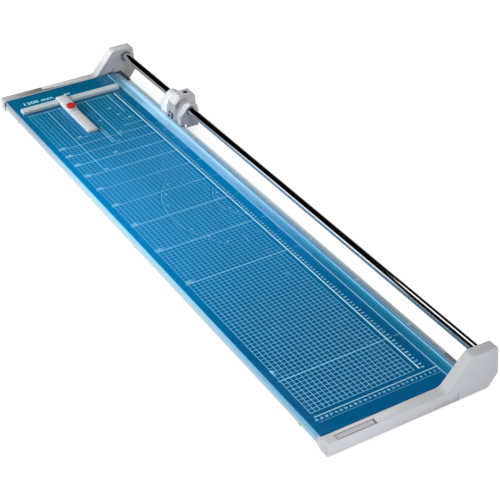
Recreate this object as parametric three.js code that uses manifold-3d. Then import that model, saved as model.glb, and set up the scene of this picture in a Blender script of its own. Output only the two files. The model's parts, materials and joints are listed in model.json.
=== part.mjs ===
// A long rotary paper trimmer, in millimetres with +Z up.
// X runs across the table towards the rail, and Y runs along the cut, from the near end to the
// far end. The origin is on the floor, under the middle of the trimmer.
import * as THREE from 'three';
import { mergeVertices } from 'three/addons/utils/BufferGeometryUtils.js';
import Module from 'manifold-3d';

const wasm = await Module();
wasm.setup();

// ---- Driving dimensions ----

const GAP = 0.3; // between neighbouring pieces
const ROUND = 32; // sides of a large round piece
const SMALL_ROUND = 16; // sides of a screw, pin or spring wire path

const HALF_LENGTH = 746.7; // of the whole trimmer, along Y
const END = {
  near: { side: -1, inner: -722.6, outer: -HALF_LENGTH },
  far: { side: 1, inner: 717.8, outer: HALF_LENGTH },
};

const TABLE = {
  left: -181, right: 138.5, top: 31, bottom: 6.5, sheet: 2,
  ledgeLeft: 123.6, ledgeTop: 24.6, lip: 22,
};
const LIP_HOLE_X = [-168, 127]; // feet and bracket screws stand in the two lips
const FOOT_Y = { near: -650, middle: 0, far: 650 };

const KNIFE = { left: 124, right: 136.8, top: 31.2, halfLength: 655, screwX: 128.5 };
const KNIFE_SCREWS = { count: 8, first: -549.5, pitch: 171 };

const STRIP = { left: 95, right: 124, lift: 1.2, thick: 1.6, rise: 1.4, endGap: 15 };

const FENCE = { left: -170, right: 88, front: 625, back: 646, height: 8 };

const HOUSING = { left: -184, armTop: 30.6, towerTop: 90, floor: 2.5, wall: 3, bevel: 1.6 };
const CHEEK = { reach: 5, bottom: 9, thick: 2.7 }; // near housing only: laps over the left flange
const CORNER_GAP = { length: 5, top: 27.4, right: -177.5 }; // far housing only: open left corner
const CLIP_SLOT = { x: [-78.6, -76.2], y: [731.4, 744.6], depth: 0.9 }; // in the far arm's top

const RAIL = { x: 152.65, z: 70, radius: 9.4 };
const RAIL_BUSH = { radius: 10.8, seat: 11.1 };
const BUFFER = { thick: 4.6, radius: 12.5 }; // soft rings that stop the head

const HEAD = {
  y: 412, // middle of the head along the rail
  endFace: 53, rim: 46, waist: 26, // distances from the middle to each station
  wall: 2.5, stripGap: 36, bottom: 26,
};
const BLADE = { x: 137.5, z: 51.5, radius: 22.5, thick: 0.8, bore: 6 };
const ROLLER = { left: 119, right: 126.5, z: 42.4, radius: 7 };

const STOP = {
  left: -74, right: -49, top: 37.5, front: 457, armBack: 621.4, // its arm
  headFront: 566.3, back: 650.5, headTop: 44.4, noseRadius: 13.4, // its head
};
const STOP_X = (STOP.left + STOP.right) / 2;
const STOP_SCREW = { y: 611, fromMiddle: 9.5 };
const STOP_TONGUE = { front: 566, top: 33.1 }; // the thin end of the arm, under the head
const BUTTON = { y: 584, radius: 11.2, flange: 11.9, bottom: 37.6, flangeTop: 40.5, top: 48.8 };

// ---- Materials ----

function finish(colour, roughness, metalness = 0) {
  return new THREE.MeshStandardMaterial({ color: colour, roughness, metalness });
}

const BLUE_ENAMEL = finish(0x00609c, 0.3, 0.1);
const GREY_PLASTIC = finish(0xc6c7cb, 0.5);
const HEAD_PLASTIC = finish(0xb4b8bc, 0.4);
const DARK_PLASTIC = finish(0x1c1f22, 0.5);
const BEARING_PLASTIC = finish(0xe8e6dd, 0.4);
const CHROME = finish(0xe0e2e4, 0.08, 1);
const GROUND_STEEL = finish(0x9aa2aa, 0.3, 1);
const ZINC_STEEL = finish(0xa8abae, 0.4, 1);
const BLACK_RUBBER = finish(0x18181a, 0.9);
const GREY_RUBBER = finish(0x676e6d, 0.8);
const CLEAR_PLASTIC = finish(0xcfe4f4, 0.1);
const STOP_PLASTIC = finish(0xc8c3bd, 0.45);
const RED_PLASTIC = finish(0xcc1e1a, 0.35);
const LABEL_FILM = finish(0xdcdde0, 0.6);

// ---- Geometry helpers ----

function ascending(one, other) {
  return one - other;
}

/** A closed shape from [x, y, reach] corners: reach is how far a corner's rounding starts. */
function roundedShape(corners) {
  const shape = new THREE.Shape();
  const count = corners.length;
  corners.forEach(([x, y, reach = 0], index) => {
    const corner = new THREE.Vector2(x, y);
    const towards = (step) => {
      const [nextX, nextY] = corners[(index + step + count) % count];
      return new THREE.Vector2(nextX, nextY).sub(corner).setLength(reach).add(corner);
    };
    const start = towards(-1);
    const end = towards(1);
    if (index === 0) shape.moveTo(start.x, start.y);
    else shape.lineTo(start.x, start.y);
    if (reach > 0) shape.quadraticCurveTo(x, y, end.x, end.y);
  });
  return shape;
}

function circleShape(x, y, radius) {
  return new THREE.Shape().absarc(x, y, radius, 0, 2 * Math.PI);
}

/** The corners of a closed outline moved inwards by a distance, for an anticlockwise outline. */
function insetCorners(corners, distance) {
  const count = corners.length;
  const inwards = (from, to) => {
    const along = new THREE.Vector2(to[0] - from[0], to[1] - from[1]).normalize();
    return { along, normal: new THREE.Vector2(-along.y, along.x) };
  };
  return corners.map((corner, index) => {
    const before = inwards(corners[(index + count - 1) % count], corner);
    const after = inwards(corner, corners[(index + 1) % count]);
    const middle = before.normal.clone().add(after.normal).normalize();
    const stretch = distance / middle.dot(after.normal);
    return [corner[0] + middle.x * stretch, corner[1] + middle.y * stretch, corner[2]];
  });
}

/** Turns a geometry whose faces point in so that they point out. */
function faceOut(geometry) {
  const place = geometry.attributes.position;
  const index = geometry.index;
  const corner = [0, 1, 2].map(() => new THREE.Vector3());
  let volume = 0;
  for (let i = 0; i < index.count; i += 3) {
    corner.forEach((point, k) => point.fromBufferAttribute(place, index.getX(i + k)));
    volume += corner[0].dot(corner[1].clone().cross(corner[2]));
  }
  if (volume < 0) {
    for (let i = 0; i < index.count; i += 3) {
      const first = index.getX(i);
      index.setX(i, index.getX(i + 1));
      index.setX(i + 1, first);
    }
  }
  return geometry;
}

/** One mesh with merged corners, no zero-area faces, and its faces pointing out. */
function clean(geometry) {
  const bare = geometry.clone();
  bare.deleteAttribute('normal');
  bare.deleteAttribute('uv');
  const merged = mergeVertices(bare);
  const kept = [];
  const index = merged.index.array;
  for (let i = 0; i < index.length; i += 3) {
    const [a, b, c] = index.slice(i, i + 3);
    if (a !== b && b !== c && c !== a) kept.push(a, b, c);
  }
  merged.setIndex(kept);
  return faceOut(merged);
}

/** Extrudes a shape along an axis. Its plane is XZ for Y, YZ for X and XY for Z. */
function extrude(shape, axis, from, to, bevel = 0, curveSegments = 3) {
  const geometry = new THREE.ExtrudeGeometry(shape, {
    depth: to - from - 2 * bevel,
    curveSegments,
    bevelEnabled: bevel > 0,
    bevelThickness: bevel,
    bevelSize: bevel,
    bevelOffset: -bevel,
    bevelSegments: 2,
  });
  if (axis === 'Y') {
    geometry.translate(0, 0, bevel - to);
    geometry.rotateX(Math.PI / 2);
    return clean(geometry);
  }
  geometry.translate(0, 0, from + bevel);
  if (axis === 'X') {
    const across = [[0, 1, 0], [0, 0, 1], [1, 0, 0]].map((v) => new THREE.Vector3(...v));
    geometry.applyMatrix4(new THREE.Matrix4().makeBasis(...across));
  }
  return clean(geometry);
}

/** Extrudes a shape between two places along Y, given in either order. */
function extrudeBetween(shape, yOne, yOther, bevel = 0, curveSegments = 3) {
  const from = Math.min(yOne, yOther);
  const to = Math.max(yOne, yOther);
  return extrude(shape, 'Y', from, to, bevel, curveSegments);
}

function block([x0, x1], [y0, y1], [z0, z1]) {
  const size = [x1 - x0, y1 - y0, z1 - z0].map(Math.abs);
  const geometry = new THREE.BoxGeometry(...size);
  geometry.translate((x0 + x1) / 2, (y0 + y1) / 2, (z0 + z1) / 2);
  return clean(geometry);
}

/** A turned piece. The profile is [radius, height] pairs, and a closed one repeats its start. */
function turned(profile, axis, [x, y, z], sides = SMALL_ROUND) {
  const points = profile.map(([radius, height]) => new THREE.Vector2(radius, height));
  const geometry = new THREE.LatheGeometry(points, sides);
  if (axis === 'X') geometry.rotateZ(-Math.PI / 2);
  if (axis === 'Z') geometry.rotateX(Math.PI / 2);
  geometry.translate(x, y, z);
  return clean(geometry);
}

function rod(radius, axis, [x, y, z], from, to, sides = SMALL_ROUND) {
  const profile = [[0, from], [radius, from], [radius, to], [0, to]];
  return turned(profile, axis, [x, y, z], sides);
}

function ring(inner, outer, axis, [x, y, z], from, to, sides = ROUND) {
  const profile = [[inner, from], [outer, from], [outer, to], [inner, to], [inner, from]];
  return turned(profile, axis, [x, y, z], sides);
}

/** A coil spring of round wire, its axis along an axis of the frame. */
function coil(axis, [x, y, z], from, to, coilRadius, wireRadius, turns) {
  class Helix extends THREE.Curve {
    getPoint(t, target = new THREE.Vector3()) {
      const angle = 2 * Math.PI * turns * t;
      const height = from + wireRadius + (to - from - 2 * wireRadius) * t;
      const one = coilRadius * Math.cos(angle);
      const other = coilRadius * Math.sin(angle);
      return axis === 'X' ? target.set(height, one, other) : target.set(one, other, height);
    }
  }
  const geometry = new THREE.ExtrudeGeometry(circleShape(0, 0, wireRadius), {
    steps: Math.round(turns * 12),
    curveSegments: 3,
    bevelEnabled: false,
    extrudePath: new Helix(),
  });
  geometry.translate(x, y, z);
  return clean(geometry);
}

function solidOf(geometry) {
  return new wasm.Manifold(new wasm.Mesh({
    numProp: 3,
    vertProperties: new Float32Array(geometry.attributes.position.array),
    triVerts: new Uint32Array(geometry.index.array),
  }));
}

function geometryOf(solid) {
  const { vertProperties, triVerts } = solid.getMesh();
  const geometry = new THREE.BufferGeometry();
  geometry.setAttribute('position', new THREE.BufferAttribute(vertProperties, 3));
  geometry.setIndex(new THREE.BufferAttribute(triVerts, 1));
  return geometry;
}

function cut(geometry, ...tools) {
  return geometryOf(tools.reduce((left, tool) => left.subtract(solidOf(tool)), solidOf(geometry)));
}

function join(first, ...others) {
  return geometryOf(others.reduce((whole, other) => whole.add(solidOf(other)), solidOf(first)));
}

const trimmer = new THREE.Group();

function piece(name, geometry, material, parent = trimmer) {
  const mesh = new THREE.Mesh(geometry, material);
  mesh.name = name;
  parent.add(mesh);
  return mesh;
}

// ---- Table, knife and fence ----

/** The folded sheet's outline across the trimmer: lips, flanges, top and the ledge. */
function tableOutline() {
  const { left, right, top, bottom, sheet, ledgeLeft, ledgeTop, lip } = TABLE;
  const outside = 3;
  const inside = 1;
  return [
    [left + lip, bottom], [left + lip, bottom + sheet],
    [left + sheet, bottom + sheet, inside], [left + sheet, top - sheet, inside],
    [ledgeLeft - sheet, top - sheet, inside], [ledgeLeft - sheet, ledgeTop - sheet, inside],
    [right - sheet, ledgeTop - sheet, inside], [right - sheet, bottom + sheet, inside],
    [right - lip, bottom + sheet], [right - lip, bottom],
    [right, bottom, outside], [right, ledgeTop, outside / 2],
    [ledgeLeft, ledgeTop], [ledgeLeft, top, inside],
    [left, top, outside], [left, bottom, outside],
  ];
}

const BRACKET_SCREW_Y = { near: -705, far: 700 };
const FENCE_SCREW_X = { left: -150, right: 70 };
const FENCE_SCREW_Y = (FENCE.front + FENCE.back) / 2;

function knifeScrewPlaces() {
  const { count, first, pitch } = KNIFE_SCREWS;
  return Array.from({ length: count }, (_, index) => first + pitch * index);
}

function buildTable() {
  const sheet = extrudeBetween(
    roundedShape(tableOutline()), END.near.inner + GAP, END.far.inner - GAP);
  const lipHoles = LIP_HOLE_X.flatMap((x) => [
    ...Object.values(FOOT_Y).map((y) => rod(3, 'Z', [x, y, 0], 5, 10)),
    ...Object.values(BRACKET_SCREW_Y).map((y) => rod(2.8, 'Z', [x, y, 0], 5, 10)),
  ]);
  const fenceHoles = Object.values(FENCE_SCREW_X).map(
    (x) => rod(2.3, 'Z', [x, FENCE_SCREW_Y, 0], 27, 33));
  const knifeHoles = knifeScrewPlaces().map(
    (y) => rod(2.3, 'Z', [KNIFE.screwX, y, 0], 20, 26));
  piece('table_top', cut(sheet, ...lipHoles, ...fenceHoles, ...knifeHoles), BLUE_ENAMEL);
}

/** Profile of a countersunk screw or of the seat cut for it, growing by a margin. */
function countersunk(top, length, margin = 0) {
  const head = 4 + margin;
  const shank = 2 + margin;
  const neck = top - 2.2;
  return [[0, top - length], [shank, top - length], [shank, neck], [head, top], [0, top]];
}

function buildKnife() {
  const bottom = TABLE.ledgeTop + 0.2;
  const bar = block(
    [KNIFE.left, KNIFE.right], [-KNIFE.halfLength, KNIFE.halfLength], [bottom, KNIFE.top]);
  const seats = knifeScrewPlaces().map(
    (y) => turned(countersunk(KNIFE.top + 0.1, 12, 0.2), 'Z', [KNIFE.screwX, y, 0]));
  piece('lower_knife', cut(bar, ...seats), GROUND_STEEL);
  knifeScrewPlaces().forEach((y, index) => {
    const screw = turned(countersunk(KNIFE.top - 0.1, 16), 'Z', [KNIFE.screwX, y, 0]);
    piece(`knife_screw_${index + 1}`, screw, ZINC_STEEL);
  });
  for (const [end, { side, inner }] of Object.entries(END)) {
    const filler = block(
      [KNIFE.left + 0.2, KNIFE.right - 0.2],
      [side * (KNIFE.halfLength + GAP), inner - side * GAP],
      [bottom, KNIFE.top]);
    piece(`knife_end_block_${end}`, filler, DARK_PLASTIC);
  }
}

function buildFence() {
  const bottom = TABLE.top + GAP;
  const top = TABLE.top + FENCE.height;
  const profile = roundedShape([
    [FENCE.front, bottom], [FENCE.back, bottom], [FENCE.back, top, 1.5], [FENCE.front, top, 1.5],
  ]);
  const bar = extrude(profile, 'X', FENCE.left, FENCE.right);
  const holes = Object.values(FENCE_SCREW_X).map(
    (x) => rod(2.2, 'Z', [x, FENCE_SCREW_Y, 0], bottom - 1, 36.4));
  piece('fence_bar', cut(bar, ...holes), STOP_PLASTIC);
  for (const [hand, x] of Object.entries(FENCE_SCREW_X)) {
    const head = TABLE.top - TABLE.sheet - 0.2;
    const profileOfScrew = [[0, head - 2.4], [4, head - 2.4], [4, head], [2, head], [2, 36], [0, 36]];
    piece(`fence_screw_${hand}`, turned(profileOfScrew, 'Z', [x, FENCE_SCREW_Y, 0]), ZINC_STEEL);
  }
}

function buildFeet() {
  const top = TABLE.bottom - 0.2;
  const profile = [[0, 0], [9, 0], [10, 1], [10, top], [2.6, top], [2.6, 11], [0, 11]];
  for (const [place, y] of Object.entries(FOOT_Y)) {
    LIP_HOLE_X.forEach((x, index) => {
      const hand = index === 0 ? 'left' : 'right';
      piece(`foot_${place}_${hand}`, turned(profile, 'Z', [x, y, 0], 24), BLACK_RUBBER);
    });
  }
}

// ---- End housings, brackets and rail ----

/** Outline of a housing across the trimmer: a low arm that rises into the sloped tower. */
const HOUSING_OUTLINE = [
  [HOUSING.left, HOUSING.floor, 4], [159, HOUSING.floor, 4], [180.5, 28.7, 4],
  [174.8, HOUSING.towerTop, 5], [118.2, HOUSING.towerTop, 6], [66.3, HOUSING.armTop, 8],
  [HOUSING.left, HOUSING.armTop, 4],
];

/** Slots in a housing's inner wall that guide the end of the pressure strip. */
function stripSlots(from, to) {
  const bottom = TABLE.top - 0.1;
  const slotRight = 115.5;
  return [
    block([92.5, slotRight], [from, to], [bottom, 35]),
    block([slotRight - 2.2, slotRight], [from, to], [bottom, 45.7]),
  ];
}

const LABEL = { left: -160.5, right: -79, depth: 0.9, front: -744.6, back: -731.4 };
const BRACKET_OPENING = [-176, 139.4]; // in the inner wall, where the bracket's flange comes out
const FACE_GROOVE = { x: [91.6, 92.4], depth: 0.6, top: 19.5 }; // a short groove in the outer face

function buildHousing(end) {
  const { side, inner, outer } = END[end];
  const { left, armTop, bevel } = HOUSING;
  const shell = extrudeBetween(roundedShape(HOUSING_OUTLINE), inner, outer, bevel);
  const wallInside = inner + side * HOUSING.wall;
  const openBelow = ([x, z, reach]) => [x, z < HOUSING.floor + HOUSING.wall + 1 ? -5 : z, reach];
  const hollow = insetCorners(HOUSING_OUTLINE, HOUSING.wall).map(openBelow);
  const cavity = extrudeBetween(roundedShape(hollow), wallInside, outer - side * HOUSING.wall);
  const beyond = inner - side * 2;
  const armTopInside = armTop - HOUSING.wall;
  const tools = [
    cavity,
    block(BRACKET_OPENING, [beyond, wallInside + side], [-5, armTopInside]),
    rod(RAIL.radius + 0.6, 'Y', [RAIL.x, 0, RAIL.z], ...[beyond, wallInside + side].sort(ascending)),
    ...stripSlots(beyond, wallInside + side),
    block(FACE_GROOVE.x, [outer - side * FACE_GROOVE.depth, outer + side], [0, FACE_GROOVE.top]),
  ];
  if (end === 'near') {
    const cheek = block(
      [left, left + CHEEK.thick], [inner + side * bevel, inner - side * CHEEK.reach],
      [CHEEK.bottom, armTop - 1]);
    const recess = block(
      [LABEL.left, LABEL.right], [LABEL.front, LABEL.back], [armTop - LABEL.depth, 40]);
    piece('near_end_housing', cut(join(shell, cheek), ...tools, recess), GREY_PLASTIC);
    return;
  }
  const corner = block(
    [left - 1, CORNER_GAP.right], [beyond, inner + CORNER_GAP.length], [-5, CORNER_GAP.top]);
  const slot = block(CLIP_SLOT.x, CLIP_SLOT.y, [armTop - CLIP_SLOT.depth, 40]);
  piece('far_end_housing', cut(shell, ...tools, corner, slot), GREY_PLASTIC);
}

function buildLabel() {
  const edge = 0.5;
  const grooveAtRight = 2.2;
  const bottom = HOUSING.armTop - LABEL.depth + 0.1;
  const outline = roundedShape([
    [LABEL.left + edge, LABEL.front + edge, 1],
    [LABEL.right - grooveAtRight, LABEL.front + edge, 1],
    [LABEL.right - grooveAtRight, LABEL.back - edge, 1],
    [LABEL.left + edge, LABEL.back - edge, 1],
  ]);
  piece('label_plate', extrude(outline, 'Z', bottom, HOUSING.armTop - 0.2), LABEL_FILM);
}

const BRACKET = { plate: 3, flangeBottom: 8.7, flangeTop: 11.2, flangeReach: 33 };

/** Steel plate behind a housing's inner wall, with a flange that rests on the table's lips. */
function buildBracket(end) {
  const { side, inner } = END[end];
  const face = inner + side * (HOUSING.wall + 0.4);
  const back = face + side * BRACKET.plate;
  const outline = roundedShape([
    [-172, BRACKET.flangeBottom], [150, BRACKET.flangeBottom], [172, 40, 4], [170, 78, 4],
    [164, 84, 4], [132, 84, 4], [124, 76, 4], [119, 26.5], [-172, 26.5, 3],
  ]);
  const plate = extrudeBetween(outline, face, back);
  const flange = block(
    [-172, 134], [back, inner - side * BRACKET.flangeReach],
    [BRACKET.flangeBottom, BRACKET.flangeTop]);
  const railHole = rod(
    4.2, 'Y', [RAIL.x, 0, RAIL.z], ...[face - side, back + side].sort(ascending));
  const screwHoles = LIP_HOLE_X.map((x) => rod(2.8, 'Z', [x, BRACKET_SCREW_Y[end], 0], 5, 15));
  piece(`${end}_end_bracket`, cut(join(plate, flange), railHole, ...screwHoles), ZINC_STEEL);

  const head = TABLE.bottom - 0.2;
  const profile = [[0, head - 2.3], [4.5, head - 2.3], [4.5, head], [2.5, head], [2.5, 14], [0, 14]];
  LIP_HOLE_X.forEach((x, index) => {
    const hand = index === 0 ? 'left' : 'right';
    const screw = turned(profile, 'Z', [x, BRACKET_SCREW_Y[end], 0]);
    piece(`bracket_screw_${end}_${hand}`, screw, ZINC_STEEL);
  });
}

const RAIL_END = {
  near: END.near.inner - HOUSING.wall - 0.2,
  far: END.far.inner + HOUSING.wall + 0.2,
};
const RAIL_BORE = { radius: 4.3, depth: 24 };

function buildRail() {
  const { near, far } = RAIL_END;
  const { radius, depth } = RAIL_BORE;
  const chamfer = 0.8;
  const profile = [
    [0, near + depth], [radius, near + depth], [radius, near], [RAIL.radius - chamfer, near],
    [RAIL.radius, near + chamfer], [RAIL.radius, far - chamfer], [RAIL.radius - chamfer, far],
    [radius, far], [radius, far - depth], [0, far - depth],
  ];
  piece('guide_rail', turned(profile, 'Y', [RAIL.x, 0, RAIL.z], ROUND), CHROME);
}

/** The screw that holds one end of the rail, and the buffer ring the head stops against. */
function buildRailEnd(end) {
  const { side, inner } = END[end];
  const underHead = inner + side * (HOUSING.wall + 0.4 + BRACKET.plate + 0.2);
  const tip = RAIL_END[end] - side * (RAIL_BORE.depth - 4);
  const profile = [
    [0, underHead + side * 7], [6.5, underHead + side * 7], [6.5, underHead],
    [4, underHead], [4, tip], [0, tip],
  ];
  piece(`rail_screw_${end}`, turned(profile, 'Y', [RAIL.x, 0, RAIL.z]), ZINC_STEEL);
  const bufferFaces = [inner - side * 0.2, inner - side * BUFFER.thick].sort(ascending);
  const buffer = ring(
    RAIL.radius + 0.3, BUFFER.radius, 'Y', [RAIL.x, 0, RAIL.z], ...bufferFaces);
  piece(`rail_buffer_${end}`, buffer, GREY_RUBBER);
}

// ---- Pressure strip ----

function buildStrip() {
  const bottom = TABLE.top + STRIP.lift;
  const { left, right, thick, rise, endGap } = STRIP;
  const bend = 115;
  const profile = roundedShape([
    [left, bottom], [bend, bottom, 0.8], [bend + rise, bottom + rise, 0.8], [right, bottom + rise],
    [right, bottom + rise + thick, 0.5], [bend + rise - 0.6, bottom + rise + thick, 0.8],
    [bend - 0.6, bottom + thick, 0.8], [left, bottom + thick],
  ]);
  const nearEnd = END.near.inner + endGap;
  const farEnd = END.far.inner - endGap;
  const tongueReach = 8.5;
  const tongue = block(
    [left, 112.5], [END.near.inner - tongueReach, END.far.inner + tongueReach],
    [bottom, bottom + thick]);
  piece('pressure_strip', join(extrudeBetween(profile, nearEnd, farEnd), tongue), CLEAR_PLASTIC);
}

/** A bent leaf inside each tower that lifts the strip's tongue. */
function buildStripSpring(end) {
  const { side, inner } = END[end];
  const thick = 0.6;
  const plateBack = inner + side * (HOUSING.wall + 0.4 + BRACKET.plate + 0.1);
  const tip = TABLE.top + STRIP.lift - 0.2;
  const bendAt = 24;
  const out = plateBack + side * 1.2;
  const corners = [
    [plateBack, 12], [plateBack + side * thick, 12], [plateBack + side * thick, bendAt],
    [out + side * thick, tip], [out, tip], [plateBack, bendAt],
  ];
  const leaf = extrude(roundedShape(corners), 'X', 101, 111);
  piece(`strip_spring_${end}`, leaf, ZINC_STEEL);
}

// ---- Cutting head ----

/** The head's outline across the trimmer at its main stations, corner by corner. */
const HEAD_STATIONS = {
  block: [
    [123.5, 36], [128.5, 75.5], [144, 93], [160, 93], [182, 93], [184, 89], [183, 26],
  ],
  waist: [
    [124.5, 36], [127, 58], [145, 80.5], [152.65, 82.6], [168, 80], [182, 70], [180.5, 26],
  ],
  rim: [
    [122.5, 36], [118, 64], [144.5, 83.2], [152.65, 86.2], [162.5, 82.4], [176.5, 60], [174, 26],
  ],
  endFace: [
    [124.5, 36], [125.5, 54.5], [142.8, 76.6], [152.65, 82.6], [162.5, 76.6], [171, 57],
    [169.5, 26],
  ],
};
const BLOCK_HALF_LENGTH = [18, 18, 14, 16, 18, 18, 18]; // where each corner leaves the block

/** The outline at a distance from the head's middle, with the step over the knife added. */
function headOutline(distance) {
  const { block: top, waist, rim, endFace } = HEAD_STATIONS;
  const mix = (from, to, share) => from.map((value, axis) => value + (to[axis] - value) * share);
  const corners = top.map((corner, index) => {
    const start = BLOCK_HALF_LENGTH[index];
    if (distance <= start) return corner;
    if (distance <= HEAD.waist) {
      const share = (distance - start) / (HEAD.waist - start);
      return mix(corner, waist[index], Math.sin(share * Math.PI / 2));
    }
    if (distance <= HEAD.rim) {
      const share = (distance - HEAD.waist) / (HEAD.rim - HEAD.waist);
      return mix(waist[index], rim[index], 1 - Math.cos(share * Math.PI / 2));
    }
    const share = (distance - HEAD.rim) / (HEAD.endFace - HEAD.rim);
    return mix(rim[index], endFace[index], share);
  });
  const stepX = 140;
  return [...corners, [stepX, HEAD.bottom], [stepX, HEAD.stripGap]];
}

/** A closed skin through outlines that have the same number of corners. */
function loft(outlines, places) {
  const count = outlines[0].length;
  const points = outlines.flatMap(
    (outline, index) => outline.flatMap(([x, z]) => [x, places[index], z]));
  const faces = [];
  for (let ringIndex = 0; ringIndex < outlines.length - 1; ringIndex += 1) {
    for (let k = 0; k < count; k += 1) {
      const next = (k + 1) % count;
      const here = ringIndex * count;
      const there = here + count;
      faces.push(here + k, there + k, here + next, there + k, there + next, here + next);
    }
  }
  const cap = (ringIndex, sameWay) => {
    const outline = outlines[ringIndex].map(([x, z]) => new THREE.Vector2(x, z));
    const clockwise = THREE.ShapeUtils.isClockWise(outline);
    for (const [a, b, c] of THREE.ShapeUtils.triangulateShape(outline, [])) {
      const turnsLike = THREE.ShapeUtils.isClockWise([a, b, c].map((k) => outline[k])) === clockwise;
      const corners = turnsLike === sameWay ? [a, b, c] : [a, c, b];
      faces.push(...corners.map((k) => ringIndex * count + k));
    }
  };
  cap(0, true);
  cap(outlines.length - 1, false);
  const geometry = new THREE.BufferGeometry();
  geometry.setAttribute('position', new THREE.Float32BufferAttribute(points, 3));
  geometry.setIndex(faces);
  return clean(geometry);
}

const HEAD_CAVITY = [
  [128.3, 20], [128.3, 53.5], [141.8, 68], [163.2, 68], [167.4, 56.5], [167.4, 20],
];
const CAVITY_END = 50; // from the head's middle to the inside of an end cover's rebate
const CENTRE_CAVITY = [[127.5, 20], [131, 72], [143, 84.5], [178.2, 84.5], [178, 20]];
const CENTRE_HALF = 15;
const HEAD_SCREW = { x: 167, recess: 7, floor: 88.8 };

function alongHead(distance) {
  return [HEAD.y - distance, HEAD.y + distance];
}

function buildHeadShell(head) {
  const stations = [14, 16, 18, 20, 22.5, HEAD.waist, 31, 36, 41, HEAD.rim, HEAD.endFace];
  const distances = [...stations.map((d) => -d).reverse(), ...stations];
  const outer = loft(
    distances.map((d) => headOutline(Math.abs(d))), distances.map((d) => HEAD.y + d));
  const axis = [RAIL.x, 0, RAIL.z];
  const top = HEAD_STATIONS.block[2][1];
  const notchHalf = 12;
  const hollow = cut(
    outer,
    extrude(roundedShape(HEAD_CAVITY), 'Y', ...alongHead(HEAD.endFace + 1)),
    extrude(roundedShape(CENTRE_CAVITY), 'Y', ...alongHead(CENTRE_HALF)),
    rod(RAIL_BUSH.seat, 'Y', axis, ...alongHead(CAVITY_END), ROUND),
    rod(RAIL.radius + 0.6, 'Y', axis, ...alongHead(HEAD.endFace + 1), ROUND),
    rod(BLADE.radius + 1.5, 'X', [0, HEAD.y, BLADE.z], BLADE.x - 2.2, BLADE.x + 2.2, ROUND),
    block([110, 128], alongHead(notchHalf), [30, 51.5]),
    rod(HEAD_SCREW.recess, 'Z', [HEAD_SCREW.x, HEAD.y, 0], HEAD_SCREW.floor, top + 1),
    rod(2.8, 'Z', [HEAD_SCREW.x, HEAD.y, 0], 80, top));
  const pinBoss = block([126.9, 130.4], alongHead(6), [36.5, 58]);
  const pinHole = rod(2.15, 'X', [0, HEAD.y, ROLLER.z], 120, 135);
  piece('head_shell', cut(join(hollow, pinBoss), pinHole), HEAD_PLASTIC, head);
}

function buildHeadEnds(head) {
  const corners = insetCorners([...HEAD_CAVITY].reverse(), GAP);
  const lifted = corners.map(([x, z]) => [x, Math.max(z, x < 140 ? HEAD.stripGap + 1 : 27.5)]);
  const stepped = [...lifted, [140.3, HEAD.stripGap + 1], [140.3, 27.5]];
  const axis = [RAIL.x, 0, RAIL.z];
  for (const [end, { side }] of Object.entries(END)) {
    const outside = HEAD.y + side * (HEAD.endFace - 0.2);
    const inside = HEAD.y + side * (CAVITY_END + GAP);
    const plate = extrudeBetween(roundedShape(stepped), inside, outside);
    const railHole = rod(RAIL.radius + 0.6, 'Y', axis, HEAD.y - 60, HEAD.y + 60, ROUND);
    piece(`head_end_cover_${end}`, cut(plate, railHole), HEAD_PLASTIC, head);
    const bushFaces = [HEAD.y + side * 36, HEAD.y + side * (CAVITY_END - GAP)].sort(ascending);
    const bush = ring(RAIL.radius + 0.1, RAIL_BUSH.radius, 'Y', axis, ...bushFaces);
    piece(`rail_bush_${end}`, bush, BEARING_PLASTIC, head);
  }
}

/** The block inside the head that carries the blade's axle. */
function buildCarriage(head) {
  const half = CENTRE_HALF - 0.6;
  const body = extrude(roundedShape([
    [139.8, 59.2], [139.8, 79], [144.4, 84], [174, 84, 2], [174, 58], [146.5, 58], [146.5, 59.2],
  ]), 'Y', ...alongHead(half));
  const boss = block([146.5, 174], alongHead(half), [42, 60]);
  const carriage = cut(
    join(body, boss),
    rod(RAIL.radius + 0.5, 'Y', [RAIL.x, 0, RAIL.z], ...alongHead(half + 1), ROUND),
    rod(4.1, 'X', [0, HEAD.y, BLADE.z], 140, 169),
    rod(2.7, 'Z', [HEAD_SCREW.x, HEAD.y, 0], 69, 90));
  piece('blade_carriage', carriage, DARK_PLASTIC, head);

  const screwTop = HEAD_SCREW.floor + GAP;
  const screw = turned([
    [0, 71], [2.5, 71], [2.5, screwTop], [5.5, screwTop], [5.5, screwTop + 2], [4.5, screwTop + 3],
    [0, screwTop + 3],
  ], 'Z', [HEAD_SCREW.x, HEAD.y, 0]);
  piece('head_screw', screw, ZINC_STEEL, head);
}

/** Blade, hub, axle and the spring that presses the blade against the knife. */
function buildBlade(head, spinner) {
  const axisPoint = [0, HEAD.y, BLADE.z];
  const half = BLADE.thick / 2;
  const { x, radius, bore } = BLADE;
  const disc = turned([
    [bore, x - half], [radius, x - half], [radius - 2.5, x + half], [bore, x + half],
    [bore, x - half],
  ], 'X', axisPoint, 64);
  piece('rotary_blade', disc, GROUND_STEEL, spinner);

  const neck = bore - 0.2;
  const hub = turned([
    [4.1, 134.4], [8, 134.4], [8, x - half - 0.2], [neck, x - half - 0.2], [neck, x + half + 0.2],
    [7.2, x + half + 0.2], [7.2, 141.5], [4.1, 141.5], [4.1, 134.4],
  ], 'X', axisPoint, ROUND);
  piece('blade_hub', hub, DARK_PLASTIC, spinner);

  const axle = turned(
    [[0, 131], [6.5, 131], [6.5, 134.1], [4, 134.1], [4, 168], [0, 168]], 'X', axisPoint, ROUND);
  piece('blade_axle', axle, ZINC_STEEL, head);
  piece('blade_spring', coil('X', axisPoint, 141.8, 146.2, 5.6, 0.6, 2.5), ZINC_STEEL, head);
}

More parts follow.
